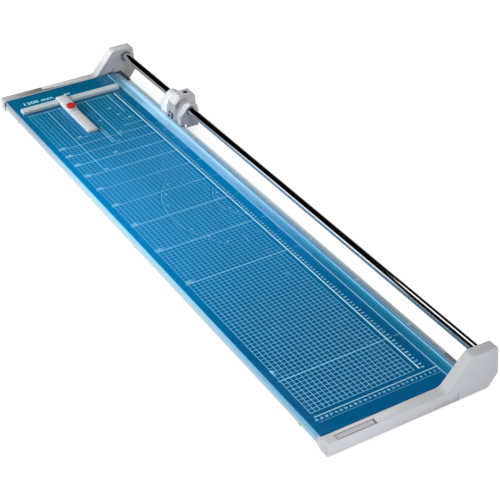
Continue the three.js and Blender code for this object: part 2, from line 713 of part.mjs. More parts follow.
function buildRoller(head, spinner) {
  const axisPoint = [0, HEAD.y, ROLLER.z];
  const { left, right, radius } = ROLLER;
  const chamfer = 0.8;
  const roller = turned([
    [2.1, left], [radius - chamfer, left], [radius, left + chamfer], [radius, right - chamfer],
    [radius - chamfer, right], [2.1, right], [2.1, left],
  ], 'X', axisPoint, ROUND);
  piece('press_roller', roller, CHROME, spinner);
  const pinHead = left - 0.3;
  const pin = turned([
    [0, pinHead - 1.5], [3.5, pinHead - 1.5], [3.5, pinHead], [2, pinHead], [2, 130.4], [0, 130.4],
  ], 'X', axisPoint);
  piece('roller_pin', pin, ZINC_STEEL, head);
}

// ---- Stop on the fence ----

function stopScrewPlaces() {
  const { y, fromMiddle } = STOP_SCREW;
  return { left: [STOP_X - fromMiddle, y, 0], right: [STOP_X + fromMiddle, y, 0] };
}

function buildStopArm(stop) {
  const bottom = TABLE.top + 0.5;
  const { left, right, front, top, armBack } = STOP;
  const profile = roundedShape([
    [front, bottom], [armBack, bottom], [armBack, STOP_TONGUE.top],
    [STOP_TONGUE.front, STOP_TONGUE.top], [STOP_TONGUE.front, top], [front, top, 1.5],
  ]);
  const arm = extrude(profile, 'X', left, right, 0.8);
  const holes = Object.values(stopScrewPlaces()).map((place) => rod(1.8, 'Z', place, 30, 35));
  piece('stop_arm', cut(arm, ...holes), STOP_PLASTIC, stop);
}

/** Everything in front of the round nose of the stop's head, to be cut away. */
function noseCutter() {
  const { noseRadius, headFront } = STOP;
  const margin = 2;
  const side = noseRadius + margin;
  const shape = new THREE.Shape();
  shape.moveTo(STOP_X - side, headFront - margin);
  shape.lineTo(STOP_X + side, headFront - margin);
  shape.lineTo(STOP_X + side, BUTTON.y);
  shape.lineTo(STOP_X + noseRadius, BUTTON.y);
  shape.absarc(STOP_X, BUTTON.y, noseRadius, 0, -Math.PI, true);
  shape.lineTo(STOP_X - side, BUTTON.y);
  return extrude(shape, 'Z', TABLE.top, STOP.headTop + margin, 0, 12);
}

/** The stop's head: it bridges the fence and holds the button, its spring and the shoe. */
function buildStopHead(stop) {
  const { left, right, top, headFront, back, headTop, noseRadius } = STOP;
  const overTongue = STOP_TONGUE.top + GAP;
  const bridge = TABLE.top + FENCE.height + 0.6;
  const hookBottom = TABLE.top + 0.6;
  const slopeStart = [608, headTop, 4];
  const slopeEnd = [headFront, 41.9];
  const side = roundedShape([
    [headFront, overTongue], [FENCE.front - 0.6, overTongue], [FENCE.front - 0.6, bridge],
    [FENCE.back + 0.6, bridge], [FENCE.back + 0.6, hookBottom], [back, hookBottom],
    [back, headTop - 3, 1.5], [back - 3, headTop, 1.5], slopeStart, slopeEnd,
  ]);
  const outer = extrude(side, 'X', STOP_X - noseRadius, STOP_X + noseRadius, 0.8);
  const base = block([left, right], [headFront, BUTTON.y], [overTongue, top]);
  const button = [STOP_X, BUTTON.y, 0];
  const places = stopScrewPlaces();
  const head = cut(
    join(cut(outer, noseCutter()), base),
    rod(BUTTON.flange + GAP, 'Z', button, 30, BUTTON.flangeTop + GAP, ROUND),
    rod(BUTTON.radius + GAP, 'Z', button, 38, 50, ROUND),
    block([STOP_X - 5.8, STOP_X + 5.8], [BUTTON.y + 10, FENCE.front + 1], [33.9, 38.9]),
    ...Object.values(places).map((place) => rod(1.5, 'Z', place, 30, 38.4)));
  piece('stop_head', head, STOP_PLASTIC, stop);

  for (const [hand, place] of Object.entries(places)) {
    piece(`stop_screw_${hand}`, rod(1.4, 'Z', place, TABLE.top + 0.7, 38), ZINC_STEEL, stop);
  }
  const spring = coil('Z', button, STOP_TONGUE.top + 0.2, BUTTON.bottom - GAP, 5, 0.5, 2.5);
  piece('button_spring', spring, ZINC_STEEL, stop);
}

/** The red push button, kept in by its flange, and the shoe it draws off the fence. */
function buildButton(stop) {
  const { radius, flange, flangeTop, bottom, top } = BUTTON;
  const button = turned([
    [0, bottom], [flange, bottom], [flange, flangeTop], [radius, flangeTop], [radius, top - 1.6],
    [radius - 0.6, top - 0.6], [radius - 2, top], [0, top + 0.3],
  ], 'Z', [STOP_X, BUTTON.y, 0], ROUND);
  piece('lock_button', button, RED_PLASTIC, stop);
  const shoeFront = BUTTON.y + 14.3;
  const shoe = block(
    [STOP_X - 5.4, STOP_X + 5.4], [shoeFront, FENCE.front - GAP], [34.3, 38.5]);
  piece('clamp_shoe', shoe, DARK_PLASTIC, stop);
}

// ---- Assembly ----

buildTable();
buildKnife();
buildFence();
buildFeet();
buildLabel();
for (const end of Object.keys(END)) {
  buildHousing(end);
  buildBracket(end);
  buildRailEnd(end);
  buildStripSpring(end);
}
buildRail();
buildStrip();

const headGroup = new THREE.Group();
const bladeGroup = new THREE.Group();
const rollerGroup = new THREE.Group();
headGroup.add(bladeGroup, rollerGroup);
buildHeadShell(headGroup);
buildHeadEnds(headGroup);
buildCarriage(headGroup);
buildBlade(headGroup, bladeGroup);
buildRoller(headGroup, rollerGroup);

const stopGroup = new THREE.Group();
buildStopArm(stopGroup);
buildStopHead(stopGroup);
buildButton(stopGroup);
trimmer.add(headGroup, stopGroup);

export default trimmer;
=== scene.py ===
"""Looks of a long rotary paper trimmer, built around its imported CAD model.

Lengths are in millimetres in this script and turned into metres when a mesh is made.
"""

import json
import math

import bmesh
import bpy
from mathutils import Matrix, Vector

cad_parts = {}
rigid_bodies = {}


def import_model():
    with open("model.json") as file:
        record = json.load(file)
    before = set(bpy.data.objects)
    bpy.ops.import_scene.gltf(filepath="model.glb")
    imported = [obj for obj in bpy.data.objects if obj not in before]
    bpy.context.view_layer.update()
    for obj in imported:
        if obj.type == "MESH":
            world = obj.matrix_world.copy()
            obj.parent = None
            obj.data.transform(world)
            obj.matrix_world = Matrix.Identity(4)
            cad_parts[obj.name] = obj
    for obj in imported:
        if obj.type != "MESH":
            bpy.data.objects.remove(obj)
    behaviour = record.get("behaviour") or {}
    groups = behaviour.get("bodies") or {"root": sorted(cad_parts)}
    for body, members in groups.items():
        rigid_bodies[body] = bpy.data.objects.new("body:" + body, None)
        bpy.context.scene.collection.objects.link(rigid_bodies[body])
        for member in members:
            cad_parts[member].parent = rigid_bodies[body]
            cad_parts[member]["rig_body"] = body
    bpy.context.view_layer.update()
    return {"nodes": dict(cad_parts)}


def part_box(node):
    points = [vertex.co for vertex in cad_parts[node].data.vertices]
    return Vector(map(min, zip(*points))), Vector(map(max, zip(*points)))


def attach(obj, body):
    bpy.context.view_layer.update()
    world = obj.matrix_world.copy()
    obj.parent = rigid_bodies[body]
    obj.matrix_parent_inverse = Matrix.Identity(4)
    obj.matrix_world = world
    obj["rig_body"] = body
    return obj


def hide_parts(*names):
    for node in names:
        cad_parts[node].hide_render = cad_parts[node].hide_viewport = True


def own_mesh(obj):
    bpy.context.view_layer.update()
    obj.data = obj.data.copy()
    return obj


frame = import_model()

MM = 0.001
NODES = frame["nodes"]
BODY_OF = {node: obj["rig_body"] for node, obj in NODES.items()}


def box_mm(node):
    """The lowest and highest corner of a CAD node, in millimetres."""
    low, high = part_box(node)
    return low / MM, high / MM


# ---- Measures shared by the pieces ----

RAIL_X, RAIL_Z, RAIL_RADIUS = 152.65, 70.0, 9.4
BUSH_RADIUS, BUSH_SEAT = 10.8, 11.1
HEAD_Y = 412.0  # middle of the cutting head
BLADE_X, BLADE_Z, BLADE_RADIUS = 137.5, 51.5, 22.5
ROLLER_Z, ROLLER_RADIUS = 42.4, 7.0
STOP_X, BUTTON_Y = -61.5, 584.0

# ---- Node helpers ----


class Field:
    """A number or colour flowing through a node tree, with ordinary arithmetic."""

    def __init__(self, tree, socket):
        self.tree = tree
        self.socket = socket

    def math(self, operation, *others):
        node = self.tree.nodes.new("ShaderNodeMath")
        node.operation = operation
        for index, value in enumerate((self, *others)):
            feed(self.tree, node.inputs[index], value)
        return Field(self.tree, node.outputs[0])

    def __add__(self, other):
        return self.math("ADD", other)

    def __sub__(self, other):
        return self.math("SUBTRACT", other)

    def __mul__(self, other):
        return self.math("MULTIPLY", other)

    def __truediv__(self, other):
        return self.math("DIVIDE", other)

    def __lt__(self, other):
        return self.math("LESS_THAN", other)

    def __gt__(self, other):
        return self.math("GREATER_THAN", other)

    def either(self, other):
        return self.math("MAXIMUM", other)

    def magnitude(self):
        return self.math("ABSOLUTE")

    def ramp(self, low, high, start=0.0, end=1.0):
        """Goes smoothly from start to end as the value goes from low to high."""
        node = self.tree.nodes.new("ShaderNodeMapRange")
        node.interpolation_type = "SMOOTHSTEP"
        for index, value in enumerate((self, low, high, start, end)):
            feed(self.tree, node.inputs[index], value)
        return Field(self.tree, node.outputs[0])


def feed(tree, socket, value):
    """Links a field to a socket, or sets the socket to a constant."""
    if isinstance(value, Field):
        tree.links.new(value.socket, socket)
    elif isinstance(value, (tuple, list)) and len(value) == 3 and socket.type == "RGBA":
        socket.default_value = (*value, 1.0)
    else:
        socket.default_value = value


def srgb(text):
    """A colour as linear light, from six hexadecimal digits."""
    channels = [int(text[i : i + 2], 16) / 255 for i in (0, 2, 4)]
    return tuple(c / 12.92 if c <= 0.04045 else ((c + 0.055) / 1.055) ** 2.4 for c in channels)


def start_material(name):
    material = bpy.data.materials.new(name)
    material.use_nodes = True
    tree = material.node_tree
    return material, tree, tree.nodes["Principled BSDF"]


def place(tree):
    """The point's place in the part's own frame, in millimetres, as three fields."""
    coordinates = tree.nodes.new("ShaderNodeTexCoord")
    scaled = tree.nodes.new("ShaderNodeVectorMath")
    scaled.operation = "SCALE"
    tree.links.new(coordinates.outputs["Object"], scaled.inputs[0])
    scaled.inputs["Scale"].default_value = 1 / MM
    split = tree.nodes.new("ShaderNodeSeparateXYZ")
    tree.links.new(scaled.outputs[0], split.inputs[0])
    return [Field(tree, output) for output in split.outputs]


def noise(tree, size, detail=3.0, stretch=(1, 1, 1)):
    """Soft noise from 0 to 1 whose blobs are about size millimetres, longer where stretched."""
    coordinates = tree.nodes.new("ShaderNodeTexCoord")
    mapping = tree.nodes.new("ShaderNodeMapping")
    mapping.inputs["Scale"].default_value = [1 / (MM * size * s) for s in stretch]
    tree.links.new(coordinates.outputs["Object"], mapping.inputs["Vector"])
    node = tree.nodes.new("ShaderNodeTexNoise")
    node.inputs["Scale"].default_value = 1.0
    node.inputs["Detail"].default_value = detail
    tree.links.new(mapping.outputs["Vector"], node.inputs["Vector"])
    return Field(tree, node.outputs[0])


def mixed(tree, share, first, second):
    """The first colour where share is 0 and the second where it is 1."""
    node = tree.nodes.new("ShaderNodeMix")
    node.data_type = "RGBA"
    feed(tree, node.inputs[0], share)
    feed(tree, node.inputs[6], first)
    feed(tree, node.inputs[7], second)
    return Field(tree, node.outputs[2])


def grey(tree, value):
    """A colour whose three channels are the value."""
    node = tree.nodes.new("ShaderNodeCombineColor")
    for socket in node.inputs:
        feed(tree, socket, value)
    return Field(tree, node.outputs[0])


def bumped(tree, height, depth, under=None):
    """A normal bumped by a height field; depth is in millimetres."""
    node = tree.nodes.new("ShaderNodeBump")
    node.inputs["Distance"].default_value = depth * MM
    feed(tree, node.inputs["Height"], height)
    if under is not None:
        feed(tree, node.inputs["Normal"], under)
    return Field(tree, node.outputs[0])


def edges(tree, radius=0.5):
    """1 along sharp edges and 0 on flat faces, found with the bevel node."""
    bevel = tree.nodes.new("ShaderNodeBevel")
    bevel.samples = 4
    bevel.inputs["Radius"].default_value = radius * MM
    geometry = tree.nodes.new("ShaderNodeNewGeometry")
    product = tree.nodes.new("ShaderNodeVectorMath")
    product.operation = "DOT_PRODUCT"
    tree.links.new(bevel.outputs[0], product.inputs[0])
    tree.links.new(geometry.outputs["Normal"], product.inputs[1])
    return Field(tree, product.outputs["Value"]).ramp(0.98, 0.75)


def crevice(tree, reach=6.0, darkest=0.25):
    """Painted shade from ambient occlusion: 1 in the open, falling to darkest deep in slots and corners."""
    node = tree.nodes.new("ShaderNodeAmbientOcclusion")
    node.samples = 6
    node.inputs["Distance"].default_value = reach * MM
    return Field(tree, node.outputs["AO"]).ramp(0.15, 0.85, darkest, 1.0)


def along(tree, y, near, middle, far):
    """A colour that changes along the trimmer from its near end over its middle to its far end."""
    first_half = mixed(tree, y.ramp(-650.0, -150.0), near, middle)
    return mixed(tree, y.ramp(150.0, 620.0), first_half, far)


def dull(shader_tree, shader, base, spread, size):
    """Roughness that wanders around a base value."""
    cloud = noise(shader_tree, size, 4.0)
    feed(shader_tree, shader.inputs["Roughness"], cloud.ramp(0.3, 0.7, base - spread, base + spread))


# ---- Materials ----

# Painted reflection on the knife: blue-grey on its inner side, bright at its cutting edge.
KNIFE_BLUE_REFLECTION, KNIFE_BRIGHT_REFLECTION = (0.25, 0.53, 0.76), (0.88, 0.98, 1.0)
GROOVE_X, GROOVE_WIDTH, GROOVE_TOP = 92.0, 1.0, 19.5  # the groove in the near outer face
GROOVE_BACK_Y = box_mm("near_end_housing")[0].y + 1.5


def moulded_plastic(name, colour, edge_colour, roughness=0.45, grain=0.35, depth=0.02, coat=0.0,
                    shade_reach=6.0, shade=0.25):
    """Injection-moulded plastic: spark-eroded grain, faint flow marks, paler edges that are part wear and part
    painted edge highlight, and painted shade in slots and corners.
    """
    material, tree, shader = start_material(name)
    flow = noise(tree, 60.0, 3.0)
    speck = noise(tree, 2.0, 2.0)
    tint = mixed(tree, flow.ramp(0.35, 0.65, 0.0, 0.5), colour, [c * 0.93 for c in colour])
    tint = mixed(tree, speck.ramp(0.62, 0.75, 0.0, 0.12), tint, [c * 0.8 for c in colour])
    # Edges take the edge colour; where it is paler this is part wear, part painted edge highlight.
    tint = mixed(tree, edges(tree) * 0.45, tint, edge_colour)
    # Painted shade: darker in slots, corners and close under other parts.
    shaded = mixed(tree, crevice(tree, shade_reach, shade), (0.0, 0.0, 0.0), tint)
    feed(tree, shader.inputs["Base Color"], shaded)
    dull(tree, shader, roughness, 0.05, 18.0)
    shader.inputs["Coat Weight"].default_value = coat
    shader.inputs["Coat Roughness"].default_value = 0.15
    waves = bumped(tree, noise(tree, 25.0, 1.0), 0.05)
    feed(tree, shader.inputs["Normal"], bumped(tree, noise(tree, grain, 2.0), depth, waves))
    return material


def ground_metal(name, colour, along, roughness=0.3, streak=0.25, metallic=1.0):
    """Steel with fine grinding marks that run along one axis."""
    material, tree, shader = start_material(name)
    stretch = [60.0 if axis == along else 1.0 for axis in "XYZ"]
    marks = noise(tree, streak, 4.0, stretch)
    blotch = noise(tree, 30.0, 3.0)
    tone = mixed(tree, marks.ramp(0.3, 0.7), [c * 0.82 for c in colour], colour)
    tone = mixed(tree, blotch.ramp(0.5, 0.8, 0.0, 0.25), tone, [c * 0.75 for c in colour])
    # Paler edges: part wear, part painted edge highlight.
    tone = mixed(tree, edges(tree, 0.3) * 0.6, tone, (0.85, 0.86, 0.88))
    feed(tree, shader.inputs["Base Color"], tone)
    shader.inputs["Metallic"].default_value = metallic
    feed(tree, shader.inputs["Roughness"], marks.ramp(0.3, 0.7, roughness - 0.06, roughness + 0.08))
    feed(tree, shader.inputs["Normal"], bumped(tree, marks, 0.006))
    return material


def knife_steel(name):
    """The lower knife: ground steel with a painted reflection, blue-grey by the strip and bright at its cutting
    edge, painted shade towards the near end, and paler edges that are part wear and part painted edge highlight.
    """
    material, tree, shader = start_material(name)
    x, y, _ = place(tree)
    marks = noise(tree, 0.25, 4.0, (1.0, 60.0, 1.0))
    tone = mixed(tree, x.ramp(124.5, 135.5), KNIFE_BLUE_REFLECTION, KNIFE_BRIGHT_REFLECTION)
    # Painted shade: the knife grows darker towards the near end.
    tone = mixed(tree, y.ramp(-560.0, 140.0, 0.42, 0.0), tone, (0.0, 0.0, 0.0))
    tone = mixed(tree, marks.ramp(0.3, 0.7, 0.18, 0.0), tone, (0.0, 0.0, 0.0))
    # Paler edges: part wear, part painted edge highlight.
    tone = mixed(tree, edges(tree, 0.3) * 0.5, tone, (0.92, 0.94, 0.96))
    feed(tree, shader.inputs["Base Color"], tone)
    shader.inputs["Metallic"].default_value = 0.05
    feed(tree, shader.inputs["Roughness"], marks.ramp(0.3, 0.7, 0.36, 0.50))
    feed(tree, shader.inputs["Normal"], bumped(tree, marks, 0.006))
    return material


def zinc_plate(name, colour, darkest=0.25):
    """Bright zinc plating with a faint crystal mottle, paler edges that are part wear and part painted edge
    highlight, and painted shade darkest in its slots.
    """
    material, tree, shader = start_material(name)
    mottle = noise(tree, 1.6, 3.0)
    tone = mixed(tree, mottle.ramp(0.35, 0.7), colour, [c * 0.72 for c in colour])
    # Paler edges: part wear, part painted edge highlight.
    tone = mixed(tree, edges(tree, 0.3) * 0.5, tone, (0.8, 0.8, 0.8))
    # Painted shade in slots and corners.
    feed(tree, shader.inputs["Base Color"], mixed(tree, crevice(tree, 6.0, darkest), (0.0, 0.0, 0.0), tone))
    shader.inputs["Metallic"].default_value = 1.0
    feed(tree, shader.inputs["Roughness"], mottle.ramp(0.3, 0.7, 0.28, 0.45))
    feed(tree, shader.inputs["Normal"], bumped(tree, mottle, 0.01))
    return material


def hard_chrome(name):
    """Polished chrome with hair-fine lines along it and faint finger smudges."""
    material, tree, shader = start_material(name)
    lines = noise(tree, 0.3, 3.0, (1.0, 400.0, 1.0))
    smudge = noise(tree, 45.0, 5.0, (1.0, 2.5, 1.0))
    tone = mixed(tree, lines.ramp(0.3, 0.7), (0.82, 0.83, 0.84), (0.93, 0.94, 0.95))
    feed(tree, shader.inputs["Base Color"], tone)
    shader.inputs["Metallic"].default_value = 1.0
    feed(tree, shader.inputs["Roughness"], smudge.ramp(0.52, 0.8, 0.05, 0.16))
    feed(tree, shader.inputs["Normal"], bumped(tree, lines, 0.0006))
    return material


def rubber(name, colour):
    """Matt rubber with a little pale dust on it."""
    material, tree, shader = start_material(name)
    dust = noise(tree, 3.0, 5.0)
    feed(tree, shader.inputs["Base Color"], mixed(tree, dust.ramp(0.5, 0.8, 0.0, 0.3), colour, (0.1, 0.1, 0.1)))
    dull(tree, shader, 0.85, 0.08, 4.0)
    feed(tree, shader.inputs["Normal"], bumped(tree, noise(tree, 0.4, 2.0), 0.03))
    return material


def clear_strip(name):
    """Clear acrylic: see-through over the print, with painted sheen and a painted glow that grow towards its
    raised lip and the far half, a painted glint by the head and a painted highlight on its left edge.
    """
    material, tree, shader = start_material(name)
    tree.nodes.remove(shader)
    output = tree.nodes["Material Output"]
    x, y, _ = place(tree)
    through = tree.nodes.new("ShaderNodeBsdfTransparent")
    streak = noise(tree, 1.6, 3.0, (1.0, 150.0, 1.0))
    clear = mixed(tree, streak.ramp(0.3, 0.7), (0.90, 0.96, 0.98), (0.97, 0.99, 1.0))
    feed(tree, through.inputs["Color"], clear)
    # Painted sheen: a diffuse layer, bluer towards the near end and paler on the lip and the left edge.
    painted_sheen = tree.nodes.new("ShaderNodeBsdfDiffuse")
    on_lip = x.ramp(113.5, 117.0)
    flat_colour = mixed(tree, y.ramp(-420.0, 150.0), (0.02, 0.75, 0.95), (0.62, 0.90, 1.0))
    flat_colour = mixed(tree, x < 96.0, flat_colour, (0.45, 0.86, 1.0))
    lip_colour = mixed(tree, y.ramp(-420.0, 150.0), (0.42, 0.74, 1.0), (0.60, 0.80, 0.94))
    feed(tree, painted_sheen.inputs["Color"], mixed(tree, on_lip, flat_colour, lip_colour))
    # Painted glow: the strip gives off light of its own.
    painted_glow = tree.nodes.new("ShaderNodeEmission")
    feed(tree, painted_glow.inputs["Color"], mixed(tree, on_lip, (0.05, 0.22, 0.34), (0.06, 0.10, 0.16)))
    lit = tree.nodes.new("ShaderNodeAddShader")
    tree.links.new(painted_sheen.outputs[0], lit.inputs[0])
    tree.links.new(painted_glow.outputs[0], lit.inputs[1])

    body = tree.nodes.new("ShaderNodeMixShader")
    # How much painted sheen shows: more towards the far half and on the lip, a painted glint by the head, less
    # at the far end, and a painted highlight on the left edge.
    before_end = y.ramp(690.0, 590.0)
    by_head = (y - 480.0).magnitude().ramp(10.0, 80.0, 1.0, 0.0)
    near_lip = x.ramp(106.0, 112.5)
    flat_sheen = y.ramp(-350.0, 220.0, 0.06, 0.29) + by_head * 0.14
    flat_sheen = flat_sheen + near_lip * y.ramp(-600.0, 420.0, 0.06, 0.20)
    lip_sheen = y.ramp(-250.0, 520.0, 0.40, 0.58)
    lip_right = x.ramp(116.5, 119.0) * y.ramp(480.0, 200.0)
    lip_sheen = lip_sheen * (lip_right * -0.62 + 1.0)
    sheen_share = flat_sheen * (on_lip.math("LESS_THAN", 0.5)) + lip_sheen * (on_lip > 0.5)
    sheen_share = sheen_share * streak.ramp(0.35, 0.65, 0.72, 1.28) * (before_end * 0.9 + 0.1)
    edge = (x < 96.0) * 0.42
    feed(tree, body.inputs[0], sheen_share.either(edge))
    tree.links.new(through.outputs[0], body.inputs[1])
    tree.links.new(lit.outputs[0], body.inputs[2])

    shine = tree.nodes.new("ShaderNodeBsdfGlossy")
    shine.inputs["Color"].default_value = (0.92, 0.95, 1.0, 1.0)
    scuff = noise(tree, 1.2, 4.0, (1.0, 12.0, 1.0))
    feed(tree, shine.inputs["Roughness"], scuff.ramp(0.4, 0.75, 0.05, 0.14))
    feed(tree, shine.inputs["Normal"], bumped(tree, noise(tree, 30.0, 1.0, (1.0, 5.0, 1.0)), 0.06))
    fresnel = tree.nodes.new("ShaderNodeFresnel")
    fresnel.inputs["IOR"].default_value = 1.49
    geometry = tree.nodes.new("ShaderNodeNewGeometry")
    inside = Field(tree, geometry.outputs["Backfacing"])
    outside = Field(tree, fresnel.outputs[0]) * (inside < 0.5)
    whole = tree.nodes.new("ShaderNodeMixShader")
    feed(tree, whole.inputs[0], outside)
    tree.links.new(body.outputs[0], whole.inputs[1])
    tree.links.new(shine.outputs[0], whole.inputs[2])
    tree.links.new(whole.outputs[0], output.inputs["Surface"])
    return material


# Printed lines on the table, in millimetres in the trimmer's frame.
GRID_LEFT, GRID_COLUMNS, GRID_PITCH = -164.25, 22, 10.0
GRID_NEAR, GRID_FAR = -665.0, 611.5
FENCE_FACE = 625.0
FORMATS = (1189, 841, 707, 594, 500, 420, 353, 297, 250, 210)  # distances from the fence
EDGE_LINE_X, EDGE_LINE_WIDTH = 66.6, 3.0
COUNT_X = 74.0
RULER_Y, RULER_FOOT_Y, RULER_RIGHT = -676.5, -692.0, 97.0
ARC_X, ARC_Y, ARC_RADII = 140.0, 11.0, (220.0, 108.0)
# Lines for sheet widths at the far end: where each stands, and where it begins and ends.
WIDTH_LINES = ((-114.5, 280.0, GRID_FAR), (-12.5, 400.0, GRID_FAR), (47.5, 510.0, GRID_FAR),
               (-43.0, 385.0, 470.0), (-37.5, 385.0, 470.0))
# Short lines across at the same end: y, left end and right end.
CROSS_LINES = ((446.0, -110.0, -80.0), (446.0, 15.0, 66.0), (475.0, 25.0, 55.0))


def stripe(value, centre, width):
    return (value - centre).magnitude() < width / 2


def comb(value, start, pitch, width):
    """1 on lines of a given width that repeat at a pitch."""
    share = ((value - start) / pitch + 0.5).math("FRACT") - 0.5
    return share.magnitude() < width / pitch / 2


def within(value, low, high):
    return (value > low) * (value < high)


def printed_lines(tree):
    """Three fields: faint grid, strong blue-white lines and white lines."""
    x, y, z = place(tree)
    on_top = z > 30.6
    grid_right = GRID_LEFT + GRID_COLUMNS * GRID_PITCH
    in_grid = within(x, GRID_LEFT - 0.5, grid_right + 0.5) * within(y, GRID_NEAR - 0.5, GRID_FAR)
    grid = comb(x, GRID_LEFT, GRID_PITCH, 1.0).either(comb(y, GRID_NEAR, GRID_PITCH, 0.9))

    strong = stripe(y, GRID_FAR, 1.2) * within(x, GRID_LEFT, grid_right)
    for distance in FORMATS:
        row = stripe(y, FENCE_FACE - distance, 1.7)
        strong = strong.either(row * within(x, GRID_LEFT - 4, EDGE_LINE_X))
        strong = strong.either(row * within(x, 83.0, 96.0) * 0.45)
    for at, start, end in WIDTH_LINES:
        strong = strong.either(stripe(x, at, 1.5) * within(y, start, end))
    for at, start, end in CROSS_LINES:
        strong = strong.either(stripe(y, at, 1.5) * within(x, start, end))

    away_x, away_y = x - ARC_X, y - ARC_Y
    radius = (away_x * away_x + away_y * away_y).math("SQRT")
    facing = (away_y / away_x).magnitude() < 0.95
    for arc in ARC_RADII:
        in_fan = facing * (x < grid_right)
        grid = grid * (stripe(radius, arc + 2.2, 4.4) * in_fan).math("LESS_THAN", 0.5)
        strong = strong.either(stripe(radius, arc, 1.0) * in_fan * 0.8)

    white = stripe(x, EDGE_LINE_X, EDGE_LINE_WIDTH) * within(y, GRID_NEAR, GRID_FAR)
    white = white.either(stripe(y, RULER_Y, 1.9) * within(x, GRID_LEFT, RULER_RIGHT) * 0.85)
    foot = stripe(y, RULER_FOOT_Y, 0.9) * within(x, GRID_LEFT, RULER_RIGHT)
    ticks = comb(x, GRID_LEFT, GRID_PITCH, 0.8) * within(y, RULER_Y - 4.0, RULER_Y)
    small = comb(x, GRID_LEFT, GRID_PITCH / 5, 0.4) * within(y, RULER_Y - 2.5, RULER_Y) * 0.5
    ruler = ticks.either(small) * within(x, GRID_LEFT - 0.5, RULER_RIGHT)
    side_ticks = comb(y, GRID_NEAR, GRID_PITCH, 0.8) * within(x, EDGE_LINE_X, EDGE_LINE_X + 3.2)
    strong = strong.either(foot * 0.6).either(ruler * 0.8)
    strong = strong.either(side_ticks * within(y, GRID_NEAR - 1, GRID_FAR) * 0.7)
    return grid * in_grid * on_top, strong * on_top, white * on_top


# Painted light and shade on the blue: darker at the near and far ends, clearest mid-table.
BLUE_PAINTED_SHADE, BLUE_PAINTED_LIGHT, BLUE_FAR_PAINTED_SHADE = (0.0, 0.118, 0.290), (0.0, 0.252, 0.605), (0.0, 0.131, 0.224)
INK_FAINT = ((0.36, 0.82, 1.0), (0.22, 0.64, 0.95), (0.10, 0.50, 0.80))  # near, middle, far
INK_STRONG, INK_WHITE = (0.34, 0.79, 1.0), (0.56, 0.92, 1.0)
# The painted reflection on the rolled flange at its top and foot, each at the near end, the middle and the far
# end.
FLANGE_REFLECTION_TOP = ((0.17, 0.50, 0.76), (0.33, 0.70, 0.86), (0.25, 0.31, 0.42))
FLANGE_REFLECTION_FOOT = ((0.47, 0.74, 0.90), (0.58, 0.74, 0.83), (0.41, 0.51, 0.52))


def printed_enamel(name):
    """Glossy blue enamel with a printed grid, with painted light that makes the blue clearest mid-table and
    darker towards both ends, and a painted reflection that makes the rolled left flange pale.
    """
    material, tree, shader = start_material(name)
    x, y, z = place(tree)
    cloud = noise(tree, 90.0, 4.0).ramp(0.3, 0.7, -0.06, 0.06)
    # Painted light: share of the lit blue, highest mid-table.
    clear = y.ramp(-640.0, 60.0) * y.ramp(900.0, 180.0) + cloud
    blue = mixed(tree, clear.math("MAXIMUM", 0.0), BLUE_PAINTED_SHADE, BLUE_PAINTED_LIGHT)
    blue = mixed(tree, y.ramp(250.0, 640.0, 0.0, 0.6), blue, BLUE_FAR_PAINTED_SHADE)
    grid, strong, white = printed_lines(tree)
    wear = noise(tree, 3.0, 5.0).ramp(0.6, 0.85, 1.0, 0.7)
    tone = mixed(tree, grid * wear * 0.95, blue, along(tree, y, *INK_FAINT))
    tone = mixed(tree, strong * wear * 0.95, tone, INK_STRONG)
    tone = mixed(tree, white * wear, tone, INK_WHITE)
    # Painted reflection: the rolled left flange is made pale.
    pale = mixed(tree, z.ramp(9.0, 26.0), along(tree, y, *FLANGE_REFLECTION_FOOT), along(tree, y, *FLANGE_REFLECTION_TOP))
    on_flange = (x < -180.4) * z.ramp(30.4, 28.8)
    tone = mixed(tree, on_flange * 0.9, tone, pale)
    chips = noise(tree, 1.5, 4.0).ramp(0.5, 0.65)
    tone = mixed(tree, edges(tree, 0.6) * chips * 0.5, tone, srgb("86B9D8"))
    feed(tree, shader.inputs["Base Color"], tone)
    rubbed = noise(tree, 70.0, 6.0, (1.0, 3.0, 1.0))
    feed(tree, shader.inputs["Roughness"], rubbed.ramp(0.35, 0.75, 0.16, 0.30))
    shader.inputs["Specular IOR Level"].default_value = 0.35
    peel = bumped(tree, noise(tree, 2.2, 2.0), 0.004)
    feed(tree, shader.inputs["Normal"], bumped(tree, grid.either(strong).either(white), 0.01, peel))
    return material


def printed_ink(name):
    """White screen-printed ink for the figures, slightly patchy."""
    material, tree, shader = start_material(name)
    patch = noise(tree, 1.0, 4.0)
    tone = mixed(tree, patch.ramp(0.55, 0.8, 0.0, 0.5), (0.42, 0.88, 1.0), (0.20, 0.56, 0.84))
    feed(tree, shader.inputs["Base Color"], tone)
    # Painted glow: the ink gives off a little light of its own.
    shader.inputs["Emission Color"].default_value = (0.02, 0.07, 0.11, 1.0)
    shader.inputs["Emission Strength"].default_value = 1.0
    dull(tree, shader, 0.4, 0.06, 5.0)
    return material


def label_film(name):
    """A blank label: matt film with faint speckle and a thin dark border, widest on the right, that is painted
    shade of the gap around it.
    """
    material, tree, shader = start_material(name)
    low, high = box_mm("label_plate")
    x, y, _ = place(tree)
    line = 0.8
    inner = within(x, low.x + line, high.x - line * 2.2) * within(y, low.y + line, high.y - line)
    fleck = noise(tree, 0.8, 3.0)
    paper = mixed(tree, fleck.ramp(0.4, 0.7), srgb("CFCFD4"), srgb("C2C2C8"))
    # Painted shade: the border is dark where the gap around the label falls in shade.
    feed(tree, shader.inputs["Base Color"], mixed(tree, inner, srgb("120E0C"), paper))
    dull(tree, shader, 0.55, 0.06, 6.0)
    feed(tree, shader.inputs["Normal"], bumped(tree, fleck, 0.01))
    return material


